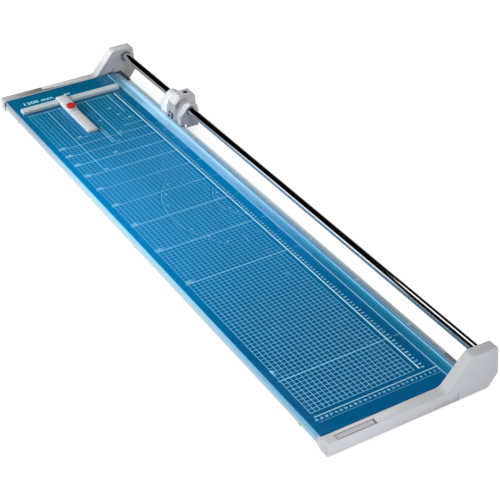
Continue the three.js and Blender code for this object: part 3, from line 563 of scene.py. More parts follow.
def housing_plastic(name):
    """The end housings' plastic, with painted light and shade along the arms and towers, and painted shade in
    the groove of the near outer face.
    """
    material = moulded_plastic(name, srgb("CCCED0"), srgb("ECECEE"), 0.5, 0.4, 0.02)
    tree = material.node_tree
    shader = tree.nodes["Principled BSDF"]
    tone = Field(tree, shader.inputs["Base Color"].links[0].from_socket)
    x, y, z = place(tree)
    # Painted light and shade: far arm darker, far tower lighter, near tower darker, near left end lighter.
    far_painted_light = x.ramp(60.0, 110.0, 0.80, 1.15)
    near_painted_light = x.ramp(-150.0, 60.0, 1.08, 0.90)
    share = mixed(tree, y > 0.0, grey(tree, near_painted_light), grey(tree, far_painted_light))
    multiply = tree.nodes.new("ShaderNodeMix")
    multiply.data_type = "RGBA"
    multiply.blend_type = "MULTIPLY"
    multiply.inputs[0].default_value = 1.0
    feed(tree, multiply.inputs[6], tone)
    feed(tree, multiply.inputs[7], share)
    painted_light_tone = Field(tree, multiply.outputs[2])
    # Painted shade: the groove in the near outer face is painted near-black.
    groove_shade = stripe(x, GROOVE_X, GROOVE_WIDTH) * (z < GROOVE_TOP) * (y < GROOVE_BACK_Y)
    feed(tree, shader.inputs["Base Color"], mixed(tree, groove_shade, painted_light_tone, (0.02, 0.02, 0.02)))
    return material


def head_plastic(name):
    """Satin head plastic with painted shade where its flank drops to the strip, where the saddle starts, on the
    near end face and widely over its hollows, and painted highlights on the far flank and the near rim.
    """
    # Wide painted shade from ambient occlusion over the head's hollows and near the table.
    material = moulded_plastic(name, srgb("D8DADE"), srgb("F4F4F6"), 0.32, 0.3, 0.006, 0.3, 34.0, 0.35)
    tree = material.node_tree
    shader = tree.nodes["Principled BSDF"]
    tone = Field(tree, shader.inputs["Base Color"].links[0].from_socket)
    x, y, z = place(tree)
    away = (y - HEAD_Y).magnitude()
    on_left = x.ramp(140.0, 126.0)
    # Painted shade on the low left flank, the near saddle and the near end face.
    flank = z.ramp(77.0, 73.0) * on_left * away.ramp(30.0, 20.0)
    near_side = y < HEAD_Y
    saddle = away.ramp(16.5, 19.0) * away.ramp(40.0, 32.0) * x.ramp(162.0, 150.0) * near_side
    end_face = away.ramp(51.0, 52.5) * near_side
    shade = (flank * 0.50).either(saddle * 0.64).either(end_face * 0.32)
    # Painted highlights: the far flank and the near rim are lightened.
    bright = away.ramp(20.0, 26.0) * (near_side.math("LESS_THAN", 0.5)) * x.ramp(150.0, 136.0)
    lip = away.ramp(45.0, 47.5, 0.0, 0.8) * (away < 51.0) * z.ramp(57.0, 63.0) * near_side * x.ramp(158.0, 150.0)
    tone = mixed(tree, (bright * 0.45).either(lip), tone, (0.97, 0.98, 1.0))
    feed(tree, shader.inputs["Base Color"], mixed(tree, shade, tone, (0.10, 0.10, 0.12)))
    return material


ENAMEL = printed_enamel("blue_printed_enamel")
INK = printed_ink("white_print")
HOUSING_GREY = housing_plastic("housing_grey")
HEAD_GREY = head_plastic("head_grey")
DARK_PLASTIC = moulded_plastic("dark_plastic", srgb("24282B"), srgb("4A4F54"), 0.5)
BLOCK_GREY = moulded_plastic("block_grey", srgb("77838C"), srgb("23282C"), 0.5)
BEARING = moulded_plastic("bearing_plastic", srgb("E4E1D6"), srgb("F2F0E8"), 0.35, 0.5, 0.01)
STOP_GREY = moulded_plastic("stop_grey", srgb("DBDFE3"), srgb("F0F2F4"), 0.42, 0.35, 0.010, 0.1)
FENCE_GREY = moulded_plastic("fence_grey", srgb("CBDCE2"), srgb("E6EEF0"), 0.42, 0.35, 0.010, 0.1)
RED = moulded_plastic("red_plastic", srgb("D8322E"), srgb("F09088"), 0.30, 0.4, 0.006, 0.6)
CHROME = hard_chrome("hard_chrome")
KNIFE_STEEL = knife_steel("knife_steel")
BLADE_STEEL = ground_metal("blade_steel", (0.62, 0.64, 0.66), "Y", 0.2)
ZINC = zinc_plate("zinc_plate", (0.55, 0.56, 0.58))
SCREW_ZINC = zinc_plate("screw_zinc", (0.86, 0.92, 0.96), 0.7)
SCREW_ZINC.node_tree.nodes["Principled BSDF"].inputs["Metallic"].default_value = 0.35
RUBBER = rubber("black_rubber", (0.012, 0.012, 0.014))
BUFFER_RUBBER = rubber("grey_rubber", srgb("8A9190"))
CLEAR = clear_strip("clear_strip")
LABEL = label_film("label_film")

# ---- Mesh helpers ----


def fillet(corners, steps=6):
    """Points of a closed outline whose [x, y, radius] corners are rounded by arcs."""
    points = []
    count = len(corners)
    for index, (x, y, radius) in enumerate(corners):
        corner = Vector((x, y))
        before = (Vector(corners[index - 1][:2]) - corner).normalized()
        after = (Vector(corners[(index + 1) % count][:2]) - corner).normalized()
        half = before.angle(after) / 2
        if radius <= 0 or half > math.radians(89.5):
            points += [tuple(corner)] * (1 if radius <= 0 else steps + 1)
            continue
        centre = corner + (before + after).normalized() * (radius / math.sin(half))
        reach = radius / math.tan(half)
        start, end = corner + before * reach - centre, corner + after * reach - centre
        turn = start.angle_signed(end)
        for step in range(steps + 1):
            arm = start.copy()
            arm.rotate(Matrix.Rotation(-turn * step / steps, 2))
            points.append(tuple(centre + arm))
    return points


def add_piece(name, vertices, faces, material, body, smooth=32.0):
    """A mesh piece from vertices in millimetres. Edges sharper than smooth degrees stay crisp."""
    mesh = bpy.data.meshes.new(name)
    mesh.from_pydata([Vector(v) * MM for v in vertices], [], faces)
    tidy = bmesh.new()
    tidy.from_mesh(mesh)
    bmesh.ops.remove_doubles(tidy, verts=tidy.verts, dist=1e-7)
    bmesh.ops.recalc_face_normals(tidy, faces=tidy.faces)
    tidy.to_mesh(mesh)
    tidy.free()
    return finish_piece(name, mesh, material, body, smooth)


def finish_piece(name, mesh, material, body, smooth):
    mesh.materials.clear()
    mesh.materials.append(material)
    mesh.polygons.foreach_set("use_smooth", [True] * len(mesh.polygons))
    mesh.set_sharp_from_angle(angle=math.radians(smooth))
    piece = bpy.data.objects.new(name, mesh)
    bpy.context.scene.collection.objects.link(piece)
    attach(piece, body)
    return piece


def stands_for(piece, *nodes):
    """The piece is shown in place of CAD nodes, which are hidden."""
    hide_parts(*nodes)
    return piece


def soften(piece, width, segments=2, angle=32.0):
    """Rounds a piece's sharp edges by a small width."""
    bevel = piece.modifiers.new("edge_rounding", "BEVEL")
    bevel.width = width * MM
    bevel.segments = segments
    bevel.limit_method = "ANGLE"
    bevel.angle_limit = math.radians(angle)
    bevel.use_clamp_overlap = True
    bevel.harden_normals = True
    return piece


def refined(node, material, width=0.25, name=None, smooth=32.0):
    """A CAD node's shape as a new piece, with its flat faces merged and its edges rounded."""
    mesh = NODES[node].data.copy()
    tidy = bmesh.new()
    tidy.from_mesh(mesh)
    bmesh.ops.remove_doubles(tidy, verts=tidy.verts, dist=2e-6)
    bmesh.ops.dissolve_limit(
        tidy, angle_limit=math.radians(0.8), verts=tidy.verts, edges=tidy.edges)
    bmesh.ops.recalc_face_normals(tidy, faces=tidy.faces)
    tidy.to_mesh(mesh)
    tidy.free()
    if mesh.has_custom_normals:
        mesh.free_normals_split() if hasattr(mesh, "free_normals_split") else None
    piece = finish_piece(name or f"{node}_shell", mesh, material, BODY_OF[node], smooth)
    if width:
        soften(piece, width, angle=smooth)
    return stands_for(piece, node)


def on_axis(axis, centre, along, one, other):
    """A point near an axis through centre: along it, then across it in two directions."""
    x, y, z = centre
    return {
        "X": (x + along, y + one, z + other),
        "Y": (x + one, y + along, z + other),
        "Z": (x + one, y + other, z + along),
    }[axis]


def hexagon(angle, flats):
    """The radius of a hexagon at an angle, from the distance of its flats."""
    return flats / math.cos((angle % (math.pi / 3)) - math.pi / 6)


def turned(name, node, profile, axis, centre, material, sides=48, smooth=32.0, shown_as=True):
    """A turned piece from [radius, height] pairs; a pair marked 'hex' makes a hexagonal ring.

    The profile starts and ends on the axis, or closes on itself.
    """
    closed = profile[0] == profile[-1]
    rings, vertices = [], []
    for item in profile[:-1] if closed else profile:
        radius, height = item[:2]
        if radius == 0:
            rings.append([len(vertices)])
            vertices.append(on_axis(axis, centre, height, 0, 0))
            continue
        rings.append([])
        for side in range(sides):
            angle = 2 * math.pi * side / sides
            reach = hexagon(angle, radius) if "hex" in item else radius
            rings[-1].append(len(vertices))
            vertices.append(on_axis(
                axis, centre, height, reach * math.cos(angle), reach * math.sin(angle)))
    pairs = list(zip(rings, rings[1:] + ([rings[0]] if closed else [])))
    faces = []
    for first, second in pairs:
        for side in range(sides):
            after = (side + 1) % sides
            loop = [first[side % len(first)], first[after % len(first)],
                    second[after % len(second)], second[side % len(second)]]
            corners = list(dict.fromkeys(loop))
            if len(corners) > 2:
                faces.append(corners)
    piece = add_piece(name, vertices, faces, material, BODY_OF[node], smooth)
    return stands_for(piece, node) if shown_as else piece


def prism(name, outline, axis, low, high, material, body, smooth=32.0):
    """An outline pushed along an axis. The outline is XZ for Y, YZ for X and XY for Z."""
    order = {"X": lambda a, b, c: (c, a, b), "Y": lambda a, b, c: (a, c, b),
             "Z": lambda a, b, c: (a, b, c)}[axis]
    count = len(outline)
    vertices = [order(a, b, c) for c in (low, high) for a, b in outline]
    faces = [list(range(count)), list(range(count, 2 * count))]
    for index in range(count):
        after = (index + 1) % count
        faces.append([index, after, count + after, count + index])
    return add_piece(name, vertices, faces, material, body, smooth)


def wound(name, node, axis, centre, low, high, coil_radius, wire, turns, material):
    """A coil spring with round wire and flat closed ends."""
    steps, sides = int(turns * 36), 10
    middle = []
    for step in range(steps + 1):
        share = step / steps
        angle = 2 * math.pi * turns * share
        along = low + wire + (high - low - 2 * wire) * min(max((share - 0.1) / 0.8, 0), 1)
        middle.append(Vector(on_axis(
            axis, centre, along, coil_radius * math.cos(angle), coil_radius * math.sin(angle))))
    vertices, faces = [], []
    for step, point in enumerate(middle):
        ahead = middle[min(step + 1, steps)] - middle[max(step - 1, 0)]
        out = point - Vector(on_axis(axis, centre, 0, 0, 0))
        tangent = ahead.normalized()
        out = (out - tangent * out.dot(tangent)).normalized()
        side_way = tangent.cross(out)
        for side in range(sides):
            angle = 2 * math.pi * side / sides
            vertices.append(point + (out * math.cos(angle) + side_way * math.sin(angle)) * wire)
        if step:
            here, back = step * sides, (step - 1) * sides
            for side in range(sides):
                after = (side + 1) % sides
                faces.append([back + side, back + after, here + after, here + side])
    faces.append(list(range(sides)))
    faces.append([steps * sides + side for side in range(sides)])
    return stands_for(add_piece(name, vertices, faces, material, BODY_OF[node], 50.0), node)


def cut_from(piece, cutters):
    """Takes cutter pieces away from a piece and removes them."""
    for cutter in cutters:
        modifier = piece.modifiers.new("cut", "BOOLEAN")
        modifier.object = cutter
        modifier.solver = "EXACT"
    bpy.context.view_layer.update()
    shape = piece.evaluated_get(bpy.context.evaluated_depsgraph_get())
    mesh = bpy.data.meshes.new_from_object(shape)
    piece.modifiers.clear()
    piece.data = close_gaps(mesh)
    for cutter in cutters:
        bpy.data.objects.remove(cutter)
    return piece


def close_gaps(mesh):
    """Welds the hair-thin gaps that a cut can leave, and fills what stays open."""
    tidy = bmesh.new()
    tidy.from_mesh(mesh)
    bmesh.ops.remove_doubles(tidy, verts=tidy.verts, dist=3e-6)
    bmesh.ops.dissolve_degenerate(tidy, dist=1e-6, edges=tidy.edges)
    bmesh.ops.holes_fill(tidy, edges=[e for e in tidy.edges if e.is_boundary], sides=12)
    tidy.to_mesh(mesh)
    tidy.free()
    return mesh


# ---- Table and fixed pieces ----


def socket_screw(name, node, axis, centre, top, under, shank_end, head, shank, flats, sunk=False,
                 material=ZINC):
    """A screw with a hexagon socket; top, under and shank_end are heights along its axis."""
    down = -1 if shank_end < top else 1
    socket = top + down * min(abs(top - under) * 0.7, 3.0)
    rim = 0.35
    outside = ([[head, top + down * rim], [shank, under]] if sunk else
               [[head, top + down * rim], [head, under], [shank, under]])
    profile = [
        [0, socket], [flats, socket, "hex"], [flats, top + down * 0.15, "hex"],
        [flats + 0.5, top], [head - rim, top], *outside,
        [shank, shank_end - down * 0.5], [shank - 0.5, shank_end], [0, shank_end],
    ]
    return turned(name, node, profile, axis, centre, material, 36)


def screw_along_z(node, head, flats, from_below=False):
    """A screw whose place and height come from its CAD node."""
    low, high = box_mm(node)
    centre = ((low.x + high.x) / 2, (low.y + high.y) / 2, 0)
    head_height = min(2.4, (high.z - low.z) * 0.3)
    shank = head * 0.5
    ends = (low.z, low.z + head_height, high.z) if from_below else (
        high.z, high.z - head_height, low.z)
    return socket_screw(f"{node}_turned", node, "Z", centre, *ends, head, shank, flats)


def build_table():
    refined("table_top", ENAMEL, 0.0, "printed_table")
    refined("lower_knife", KNIFE_STEEL, 0.2, "knife_bar")
    for end in ("near", "far"):
        filler = BLOCK_GREY if end == "near" else DARK_PLASTIC
        refined(f"knife_end_block_{end}", filler, 0.4, f"knife_end_filler_{end}")
        refined(f"{end}_end_housing", HOUSING_GREY, 0.0, f"{end}_end_cap", 40.0)
        refined(f"{end}_end_bracket", ZINC, 0.3, f"{end}_rail_bracket")
        leaf = refined(f"strip_spring_{end}", ZINC, 0.05, f"strip_leaf_{end}")
        low, _ = box_mm(f"strip_spring_{end}")
        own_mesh(leaf)
    refined("label_plate", LABEL, 0.1, "blank_label")
    refined("fence_bar", FENCE_GREY, 0.5, "paper_fence")
    for index in range(1, 9):
        node = f"knife_screw_{index}"
        low, high = box_mm(node)
        centre = ((low.x + high.x) / 2, (low.y + high.y) / 2, 0)
        socket_screw(f"{node}_turned", node, "Z", centre, high.z, high.z - 2.2, low.z,
                     4.0, 2.0, 1.5, sunk=True, material=SCREW_ZINC)
    for end in ("near", "far"):
        for hand in ("left", "right"):
            screw_along_z(f"bracket_screw_{end}_{hand}", 4.5, 1.8, from_below=True)
    for hand in ("left", "right"):
        screw_along_z(f"fence_screw_{hand}", 4.0, 1.5, from_below=True)
    for place_name in ("near", "middle", "far"):
        for hand in ("left", "right"):
            build_foot(f"foot_{place_name}_{hand}")


def build_foot(node):
    low, high = box_mm(node)
    centre = ((low.x + high.x) / 2, (low.y + high.y) / 2, 0)
    profile = [
        [0, 0.6], [5.5, 0.6], [6.2, 0.0], [8.8, 0.0], [9.6, 0.4], [10, 1.2], [10, 2.4],
        [9.5, 2.8], [9.5, 3.4], [10, 3.8], [10, 5.6], [9.4, 6.2], [2.6, 6.2], [2.6, 10.4],
        [2.0, 11.0], [0, 11.0],
    ]
    turned(f"{node}_ribbed", node, profile, "Z", centre, RUBBER)


def build_rail():
    low, high = box_mm("guide_rail")
    near, far = low.y, high.y
    bore, depth, chamfer = 4.3, 24.0, 0.8
    profile = [
        [0, near + depth], [bore, near + depth], [bore, near], [RAIL_RADIUS - chamfer, near],
        [RAIL_RADIUS, near + chamfer], [RAIL_RADIUS, far - chamfer],
        [RAIL_RADIUS - chamfer, far], [bore, far], [bore, far - depth], [0, far - depth],
    ]
    centre = (RAIL_X, 0, RAIL_Z)
    turned("chromed_rail", "guide_rail", profile, "Y", centre, CHROME, 96)
    for end, side in (("near", -1), ("far", 1)):
        low, high = box_mm(f"rail_screw_{end}")
        outer, inner = (low.y, high.y) if side < 0 else (high.y, low.y)
        socket_screw(f"rail_screw_{end}_turned", f"rail_screw_{end}", "Y", centre,
                     outer, outer - side * 7.0, inner, 6.5, 4.0, 2.5)
        low, high = box_mm(f"rail_buffer_{end}")
        soft = 0.9
        inner_radius, outer_radius = RAIL_RADIUS + 0.3, 12.5
        ring = [
            [inner_radius, low.y], [outer_radius - soft, low.y],
            [outer_radius, low.y + soft], [outer_radius, high.y - soft],
            [outer_radius - soft, high.y], [inner_radius, high.y], [inner_radius, low.y],
        ]
        turned(f"rail_buffer_{end}_ring", f"rail_buffer_{end}", ring, "Y", centre,
               BUFFER_RUBBER, 64)


def build_strip():
    piece = refined("pressure_strip", CLEAR, 0.0, "clear_pressure_strip")
    piece.visible_shadow = True
    return piece


# ---- Printed figures ----


def figure_mesh(text, size):
    curve = bpy.data.curves.new("figure", "FONT")
    curve.body = text
    curve.size = size * MM
    curve.align_x = "CENTER"
    curve.align_y = "CENTER"
    curve.resolution_u = 2
    curve.offset = size * MM * 0.02
    holder = bpy.data.objects.new("figure", curve)
    bpy.context.scene.collection.objects.link(holder)
    bpy.context.view_layer.update()
    shape = holder.evaluated_get(bpy.context.evaluated_depsgraph_get())
    mesh = bpy.data.meshes.new_from_object(shape)
    bpy.data.objects.remove(holder)
    return mesh


def print_figures(name, figures, size, height=31.04, turn=0.0):
    """Joins (text, x, y) figures into one flat printed piece on the table."""
    joined = bmesh.new()
    made = {}
    for text, x, y in figures:
        if text not in made:
            made[text] = figure_mesh(text, size)
        start = len(joined.verts)
        joined.from_mesh(made[text])
        joined.verts.ensure_lookup_table()
        move = Matrix.Translation(Vector((x, y, height)) * MM) @ Matrix.Rotation(turn, 4, "Z")
        bmesh.ops.transform(joined, matrix=move, verts=joined.verts[start:])
    mesh = bpy.data.meshes.new(name)
    joined.to_mesh(mesh)
    joined.free()
    piece = finish_piece(name, mesh, INK, "root", 30.0)
    return as_ink(piece)


def as_ink(piece):
    """Gives flat print the thickness of ink."""
    film = piece.modifiers.new("ink_film", "SOLIDIFY")
    film.thickness = 0.03 * MM
    film.offset = 1.0
    return piece


def oval(name, places, length, width, line, height=31.03):
    """Thin printed outlines with round ends around the format figures."""
    vertices, faces = [], []
    steps = 12
    for x, y in places:
        start = len(vertices)
        for inset in (0.0, line):
            radius = width / 2 - inset
            for side in (1, -1):
                for step in range(steps + 1):
                    angle = side * math.pi / 2 - math.pi * step / steps
                    vertices.append((
                        x + side * (length - width) / 2 + radius * math.cos(angle),
                        y + radius * math.sin(angle), height))
        count = 2 * (steps + 1)
        for index in range(count):
            after = (index + 1) % count
            faces.append([start + index, start + after, start + count + after,
                          start + count + index])
    return as_ink(add_piece(name, vertices, faces, INK, "root"))


def build_print():
    print_figures("length_mark", [("1300 mm", -112.0, 676.0)], 21.0)
    print_figures("format_mark", [("A0", -36.0, 673.0)], 15.0)
    print_figures("ruler_figures", [
        (str(30 - column), GRID_LEFT + GRID_PITCH * column, RULER_Y - 8.6)
        for column in range(0, GRID_COLUMNS + 5)], 6.2)
    rows = range(1, int((FENCE_FACE - GRID_NEAR) / GRID_PITCH) + 1)
    print_figures("length_figures", [
        (str(row), COUNT_X, FENCE_FACE - GRID_PITCH * row) for row in rows], 5.2)
    label_x = GRID_LEFT + 7.0
    places = [(label_x, FENCE_FACE - distance + 5.6) for distance in FORMATS[1:]]
    print_figures("format_figures", [
        (str(distance), label_x, FENCE_FACE - distance + 5.4) for distance in FORMATS[1:]], 6.4)
    oval("format_ovals", places, 17.5, 9.2, 0.7)
    print_figures("long_format_figures", [
        (str(FORMATS[0]), GRID_LEFT + 1.5, FENCE_FACE - FORMATS[0] + 25.0)], 9.0, 31.04, math.pi / 2)
    print_figures("width_figures", [
        (text, x + 6.0, y) for text, x, y in (
            ("250", -114.5, 281.0), ("200", -64.5, 340.0), ("171", -35.0, 384.0),
            ("148", -12.5, 424.0), ("90", 40.0, 480.0), ("148", 16.0, 545.0),
            ("162", 22.0, 505.0), ("110", -30.0, 500.0), ("229", -104.0, 452.0))], 6.0)
    print_figures("angle_figures", [
        (text, ARC_X - radius * math.cos(math.radians(angle)),
         ARC_Y + radius * math.sin(math.radians(angle)))
        for radius in (210.0, 98.0)
        for text, angle in (("45", 40), ("30", 28), ("15", 15), ("15", -15), ("30", -28),
                            ("45", -40))], 5.0)


# ---- Cutting head ----

# Corners of the head's outline across the trimmer: x, z and rounding radius, going from the
# low left corner up, over and down to the low right one, then the step over the knife.
STEP_OVER_KNIFE = [[140.0, 26.0, 0.0], [140.0, 36.0, 0.6]]
HEAD_STATIONS = {
    "block": [[123.5, 36, 0.8], [128.5, 75.5, 0.5], [144, 93, 0.5], [160, 93, 3.0],
              [182, 93, 5.0], [184, 86, 3.0], [183, 26, 1.0]],
    "waist": [[124.5, 36, 0.8], [127, 58, 4.0], [143, 80.0, 5.0], [152.65, 83.6, 6.0],
              [167, 82, 9.0], [182, 69, 9.0], [180.5, 26, 1.0]],
    "rim": [[122.5, 36, 0.8], [118.5, 63.5, 2.0], [144.5, 84.0, 6.0], [152.65, 86.8, 6.0],
            [162.5, 83.2, 8.0], [177, 60, 5.0], [174.5, 26, 1.0]],
    "end_face": [[124.5, 36, 0.8], [125.5, 54.5, 1.5], [142.9, 77.4, 6.0], [152.65, 83.2, 6.0],
                 [162.4, 77.4, 6.0], [171, 57, 4.0], [169.5, 26, 1.0]],
}
BLOCK_HALF = [18, 18, 14, 16, 16, 17, 18]  # where each corner leaves the block
WAIST, RIM, END_FACE = 26.0, 46.0, 53.0  # distances from the head's middle


def blend_corner(start, end, share):
    return [a + (b - a) * share for a, b in zip(start, end)]


def head_outline(distance):
    corners = []
    for index, corner in enumerate(HEAD_STATIONS["block"]):
        waist, rim, end_face = (HEAD_STATIONS[k][index] for k in ("waist", "rim", "end_face"))
        begin = BLOCK_HALF[index]
        if distance <= begin:
            corners.append(corner)
        elif distance <= WAIST:
            share = (distance - begin) / (WAIST - begin)
            corners.append(blend_corner(corner, waist, math.sin(share * math.pi / 2) ** 0.9))
        elif distance <= RIM:
            share = (distance - WAIST) / (RIM - WAIST)
            corners.append(blend_corner(waist, rim, 1 - math.cos(share * math.pi / 2)))
        else:
            corners.append(blend_corner(rim, end_face, (distance - RIM) / (END_FACE - RIM)))
    return fillet(corners + STEP_OVER_KNIFE, 5)


def loft(name, outlines, places, material, body, smooth):
    """A closed skin through outlines that stand across the Y axis."""
    count = len(outlines[0])
    vertices = [(x, y, z) for outline, y in zip(outlines, places) for x, z in outline]
    faces = [list(range(count)), [len(vertices) - count + k for k in range(count)]]
    for ring in range(len(outlines) - 1):
        for k in range(count):
            after = (k + 1) % count
            here, there = ring * count, (ring + 1) * count
            faces.append([here + k, here + after, there + after, there + k])
    return add_piece(name, vertices, faces, material, body, smooth)


def build_head_shell():
    bevel = 0.5
    half = [13.9, 14.1, 15, 16, 17, 18, 19, 20, 21, 22, 23.5, 25, WAIST, 27.5, 29, 31, 33, 35, 37,
            39, 41, 43, 44.5, 45.6, RIM, RIM + 0.4, 49.5, END_FACE - bevel, END_FACE]
    distances = [-d for d in reversed(half)] + [-7.0, 0.0, 7.0] + half
    outlines = []
    for distance in distances:
        outline = head_outline(abs(distance))
        if abs(distance) == END_FACE:
            middle = Vector((150.0, 52.0))
            outline = [tuple(Vector(p) + (middle - Vector(p)).normalized() * bevel * 0.6)
                       for p in outline]
        outlines.append(outline)
    shell = loft("saddle_shell", outlines, [HEAD_Y + d for d in distances], HEAD_GREY, "head", 24.0)
    reach = END_FACE + 1
    cavity = [(128.3, 20), (128.3, 53.5), (141.8, 68), (163.2, 68), (167.4, 56.5), (167.4, 20)]
    centre = [(127.5, 20), (131, 72), (143, 84.5), (178.2, 84.5), (178, 20)]
    low, high = HEAD_Y - reach, HEAD_Y + reach
    axis = (RAIL_X, 0, RAIL_Z)
    clear, seat = RAIL_RADIUS + 0.6, (HEAD_Y - 50, HEAD_Y + 50)
    bore = [[0, low], [clear, low], [clear, seat[0]], [BUSH_SEAT, seat[0]],
            [BUSH_SEAT, seat[1]], [clear, seat[1]], [clear, high], [0, high]]
    hub = (0, HEAD_Y, BLADE_Z)
    screw = (167.0, HEAD_Y, 0)
    cutters = [
        prism("cut_1", cavity, "Y", low, high, HEAD_GREY, "head"),
        prism("cut_2", centre, "Y", HEAD_Y - 15, HEAD_Y + 15, HEAD_GREY, "head"),
        turned("cut_3", "head_shell", bore, "Y", axis, HEAD_GREY, 64, 32.0, False),
        cylinder("cut_5", BLADE_RADIUS + 1.5, "X", hub, BLADE_X - 2.2, BLADE_X + 2.2),
        prism("cut_6", [(HEAD_Y - 12, 30), (HEAD_Y + 12, 30), (HEAD_Y + 12, 50),
                        (HEAD_Y + 10, 51.5), (HEAD_Y - 10, 51.5), (HEAD_Y - 12, 50)],
              "X", 110, 128, HEAD_GREY, "head"),
        cylinder("cut_7", 7.0, "Z", screw, 88.8, 96),
        cylinder("cut_8", 2.8, "Z", screw, 80, 92),
    ]
    cut_from(shell, cutters)
    mesh = shell.data
    mesh.polygons.foreach_set("use_smooth", [True] * len(mesh.polygons))
    mesh.set_sharp_from_angle(angle=math.radians(24.0))
    stands_for(shell, "head_shell")
    boss = prism("roller_pin_boss", fillet([[406, 37, 1.5], [418, 37, 1.5], [418, 57.5, 1.5],
                 [406, 57.5, 1.5]], 4), "X", 127.2, 130.4, HEAD_GREY, "head")
    cut_from(boss, [cylinder("cut_9", 2.15, "X", (0, HEAD_Y, ROLLER_Z), 120, 135)])


def cylinder(name, radius, axis, centre, low, high):
    """A plain cutter, removed again once it has cut."""
    profile = [[0, low], [radius, low], [radius, high], [0, high]]
    return turned(name, "head_shell", profile, axis, centre, HEAD_GREY, 64, 32.0, False)


def build_head():
    build_head_shell()
    for end in ("near", "far"):
        refined(f"head_end_cover_{end}", HEAD_GREY, 0.2, f"head_end_plate_{end}")
        low, high = box_mm(f"rail_bush_{end}")
        bore, rim = RAIL_RADIUS + 0.1, BUSH_RADIUS - 0.3
        profile = [
            [bore, low.y], [rim, low.y], [BUSH_RADIUS, low.y + 0.3], [BUSH_RADIUS, high.y - 0.3],
            [rim, high.y], [bore, high.y], [bore, low.y]]
        turned(f"rail_bush_{end}_ring", f"rail_bush_{end}", profile, "Y",
               (RAIL_X, 0, RAIL_Z), BEARING, 64)
    refined("blade_carriage", DARK_PLASTIC, 0.4, "blade_carriage_block")
    screw = (167.0, HEAD_Y, 0)
    low, high = box_mm("head_screw")
    socket_screw("head_screw_turned", "head_screw", "Z", screw, high.z, high.z - 3.0, low.z,
                 5.5, 2.5, 2.5)
    hub = (0, HEAD_Y, BLADE_Z)
    low, high = box_mm("blade_axle")
    socket_screw("blade_axle_turned", "blade_axle", "X", hub, low.x, low.x + 3.1, high.x,
                 6.5, 4.0, 2.5)
    wound("blade_spring_coil", "blade_spring", "X", hub, 141.8, 146.2, 5.6, 0.6, 3.0, ZINC)
    half = 0.4
    profile = [
        [6, BLADE_X - half], [21.5, BLADE_X - half], [BLADE_RADIUS, BLADE_X - half + 0.06],
        [20.0, BLADE_X + half], [6, BLADE_X + half], [6, BLADE_X - half]]
    turned("rotary_blade_disc", "rotary_blade", profile, "X", hub, BLADE_STEEL, 128, 15.0)
    refined("blade_hub", DARK_PLASTIC, 0.2, "blade_hub_turned")
    low, high = box_mm("press_roller")
    profile = [[2.1, low.x], [6.2, low.x], [ROLLER_RADIUS, low.x + 0.8]]
    grooves = 2
    pitch = (high.x - low.x - 1.6) / (grooves + 1)
    for index in range(1, grooves + 1):
        at = low.x + 0.8 + pitch * index
        profile += [[ROLLER_RADIUS, at - 0.35], [ROLLER_RADIUS - 0.35, at - 0.2],
                    [ROLLER_RADIUS - 0.35, at + 0.2], [ROLLER_RADIUS, at + 0.35]]
    profile += [[ROLLER_RADIUS, high.x - 0.8], [6.2, high.x], [2.1, high.x], [2.1, low.x]]
    turned("press_roller_turned", "press_roller", profile, "X", (0, HEAD_Y, ROLLER_Z), CHROME, 64)
    low, high = box_mm("roller_pin")
    socket_screw("roller_pin_turned", "roller_pin", "X", (0, HEAD_Y, ROLLER_Z), low.x,
                 low.x + 1.5, high.x, 3.5, 2.0, 1.2)


# ---- Stop ----


def build_stop():
    refined("stop_arm", STOP_GREY, 0.0, "stop_arm_bar", 40.0)
    refined("stop_head", STOP_GREY, 0.0, "stop_head_cap", 40.0)
    for hand in ("left", "right"):
        screw_along_z(f"stop_screw_{hand}", 1.4, 0.6, from_below=True)
    centre = (STOP_X, BUTTON_Y, 0)
    spring = wound(
        "button_spring_coil", "button_spring", "Z", centre, 33.3, 37.3, 5.0, 0.5, 3.0, ZINC)
    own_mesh(spring)
    profile = [
        [0, 37.6], [11.9, 37.6], [11.9, 40.5], [11.2, 40.5], [11.2, 46.6], [11.05, 47.4],
        [10.6, 48.1], [9.9, 48.6], [9.0, 48.8], [8.0, 48.75], [5.0, 48.35], [2.5, 48.15],
        [0, 48.1],
    ]
    turned("lock_button_cap", "lock_button", profile, "Z", centre, RED, 72, 40.0)
    refined("clamp_shoe", DARK_PLASTIC, 0.3, "clamp_shoe_block")


# ---- Stage, light and camera ----


def build_floor():
    """A pale floor that glows a little, like paper in an even light tent."""
    size = 30.0
    mesh = bpy.data.meshes.new("floor")
    corners = [(-size, -size, 0), (size, -size, 0), (size, size, 0), (-size, size, 0)]
    mesh.from_pydata(corners, [], [(0, 1, 2, 3)])
    floor = bpy.data.objects.new("floor", mesh)
    bpy.context.scene.collection.objects.link(floor)
    material, tree, shader = start_material("pale_floor")
    shader.inputs["Base Color"].default_value = (0.5, 0.5, 0.5, 1.0)
    shader.inputs["Roughness"].default_value = 0.9
    shader.inputs["Specular IOR Level"].default_value = 0.1
    shader.inputs["Emission Color"].default_value = (1.0, 1.0, 1.0, 1.0)
    seen = Field(tree, tree.nodes.new("ShaderNodeLightPath").outputs["Is Camera Ray"])
    feed(tree, shader.inputs["Emission Strength"], seen * 0.76 + 0.06)
    mesh.materials.append(material)


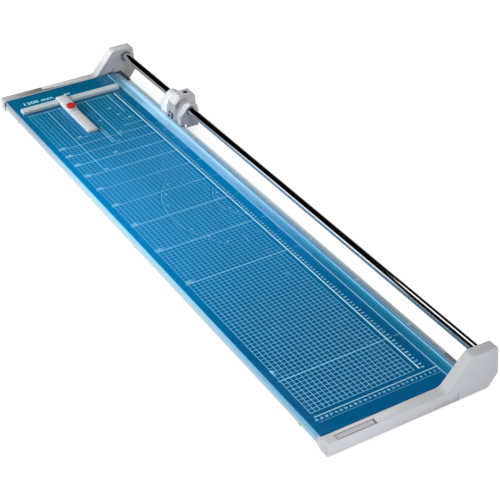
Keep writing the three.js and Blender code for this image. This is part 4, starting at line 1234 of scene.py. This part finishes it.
def build_world():
    """A light tent: bright low on all sides and dark overhead, which gives chrome its bands."""
    world = bpy.data.worlds.new("studio")
    bpy.context.scene.world = world
    world.use_nodes = True
    tree = world.node_tree
    background = tree.nodes["Background"]
    coordinates = tree.nodes.new("ShaderNodeTexCoord")
    split = tree.nodes.new("ShaderNodeSeparateXYZ")
    tree.links.new(coordinates.outputs["Generated"], split.inputs[0])
    x, y, z = (Field(tree, output) for output in split.outputs)
    paths = tree.nodes.new("ShaderNodeLightPath")
    is_camera = Field(tree, paths.outputs["Is Camera Ray"])
    is_glossy = Field(tree, paths.outputs["Is Glossy Ray"])

    across = x.math("ARCTAN2", z)  # angle from straight up, positive towards the rail side
    ahead = y.ramp(0.635, 0.660)  # 1 for what the far end reflects, 0 for the near end
    wall_edge = y.ramp(0.745, 0.785, -1.00, -1.40)
    left_wall = across.ramp(wall_edge, wall_edge - 0.3, 0.0, 1.0) * (ahead * 0.93 + 0.07)
    right_wall = across.ramp(0.95, 1.45, 0.0, y.ramp(0.69, 0.77, 0.32, 0.60)) * (ahead * 0.9 + 0.1)
    strip_light = stripe(across, -0.02, 0.56) * (ahead.math("LESS_THAN", 0.5))
    mirror = left_wall.either(right_wall).either(strip_light)
    soft = z.ramp(-0.1, 0.9, 0.20, 0.10)
    feed(tree, background.inputs["Strength"], 1.0)
    shade = mixed(tree, is_glossy, grey(tree, soft), grey(tree, mirror))
    feed(tree, background.inputs["Color"], mixed(tree, is_camera, shade, (1.0, 1.0, 1.0)))


def add_light(name, place_m, target_m, size, power, colour=(1.0, 1.0, 1.0)):
    data = bpy.data.lights.new(name, "AREA")
    data.shape = "RECTANGLE"
    data.size, data.size_y = size
    data.energy = power
    data.color = colour
    light = bpy.data.objects.new(name, data)
    bpy.context.scene.collection.objects.link(light)
    light.location = place_m
    aim = Vector(target_m) - Vector(place_m)
    light.rotation_mode = "QUATERNION"
    light.rotation_quaternion = aim.to_track_quat("-Z", "Y")
    light.visible_glossy = False
    light.visible_camera = False
    return light


def build_lights():
    add_light("key", (-2.47, 1.60, 1.05), (0.1, 0.45, 0.05), (1.5, 1.2), 104.0)
    add_light("top", (-0.2, -0.6, 2.2), (-0.1, -0.4, 0.0), (1.4, 1.4), 18.0)
    add_light("fill", (2.3, -0.1, 0.42), (0.15, 0.0, 0.05), (2.0, 0.3), 13.0)
    add_light("front", (-0.1, -1.6, 0.14), (-0.05, -0.75, 0.04), (0.9, 0.25), 6.4, (0.91, 0.90, 1.0))


CAMERA_PLACE = (-1.0669, -2.0677, 1.4992)
CAMERA_AZIMUTH, CAMERA_ELEVATION, CAMERA_ROLL = (math.radians(a) for a in (-29.45, 34.06, -1.57))
CAMERA_LENS = 92.26


def build_camera():
    data = bpy.data.cameras.new("camera")
    data.sensor_width = 36.0
    data.lens = CAMERA_LENS
    camera = bpy.data.objects.new("camera", data)
    bpy.context.scene.collection.objects.link(camera)
    a, e, r = CAMERA_AZIMUTH, CAMERA_ELEVATION, CAMERA_ROLL
    back = Vector((math.sin(a) * math.cos(e), -math.cos(a) * math.cos(e), math.sin(e)))
    level = Vector((math.cos(a), math.sin(a), 0))
    upright = back.cross(level)
    right = level * math.cos(r) + upright * math.sin(r)
    up = upright * math.cos(r) - level * math.sin(r)
    turn = Matrix((right, up, back)).transposed().to_4x4()
    camera.matrix_world = Matrix.Translation(CAMERA_PLACE) @ turn
    bpy.context.scene.camera = camera
    bpy.context.scene.view_settings.view_transform = "Standard"


build_table()
build_rail()
build_strip()
build_print()
build_head()
build_stop()
build_floor()
build_world()
build_lights()
build_camera()
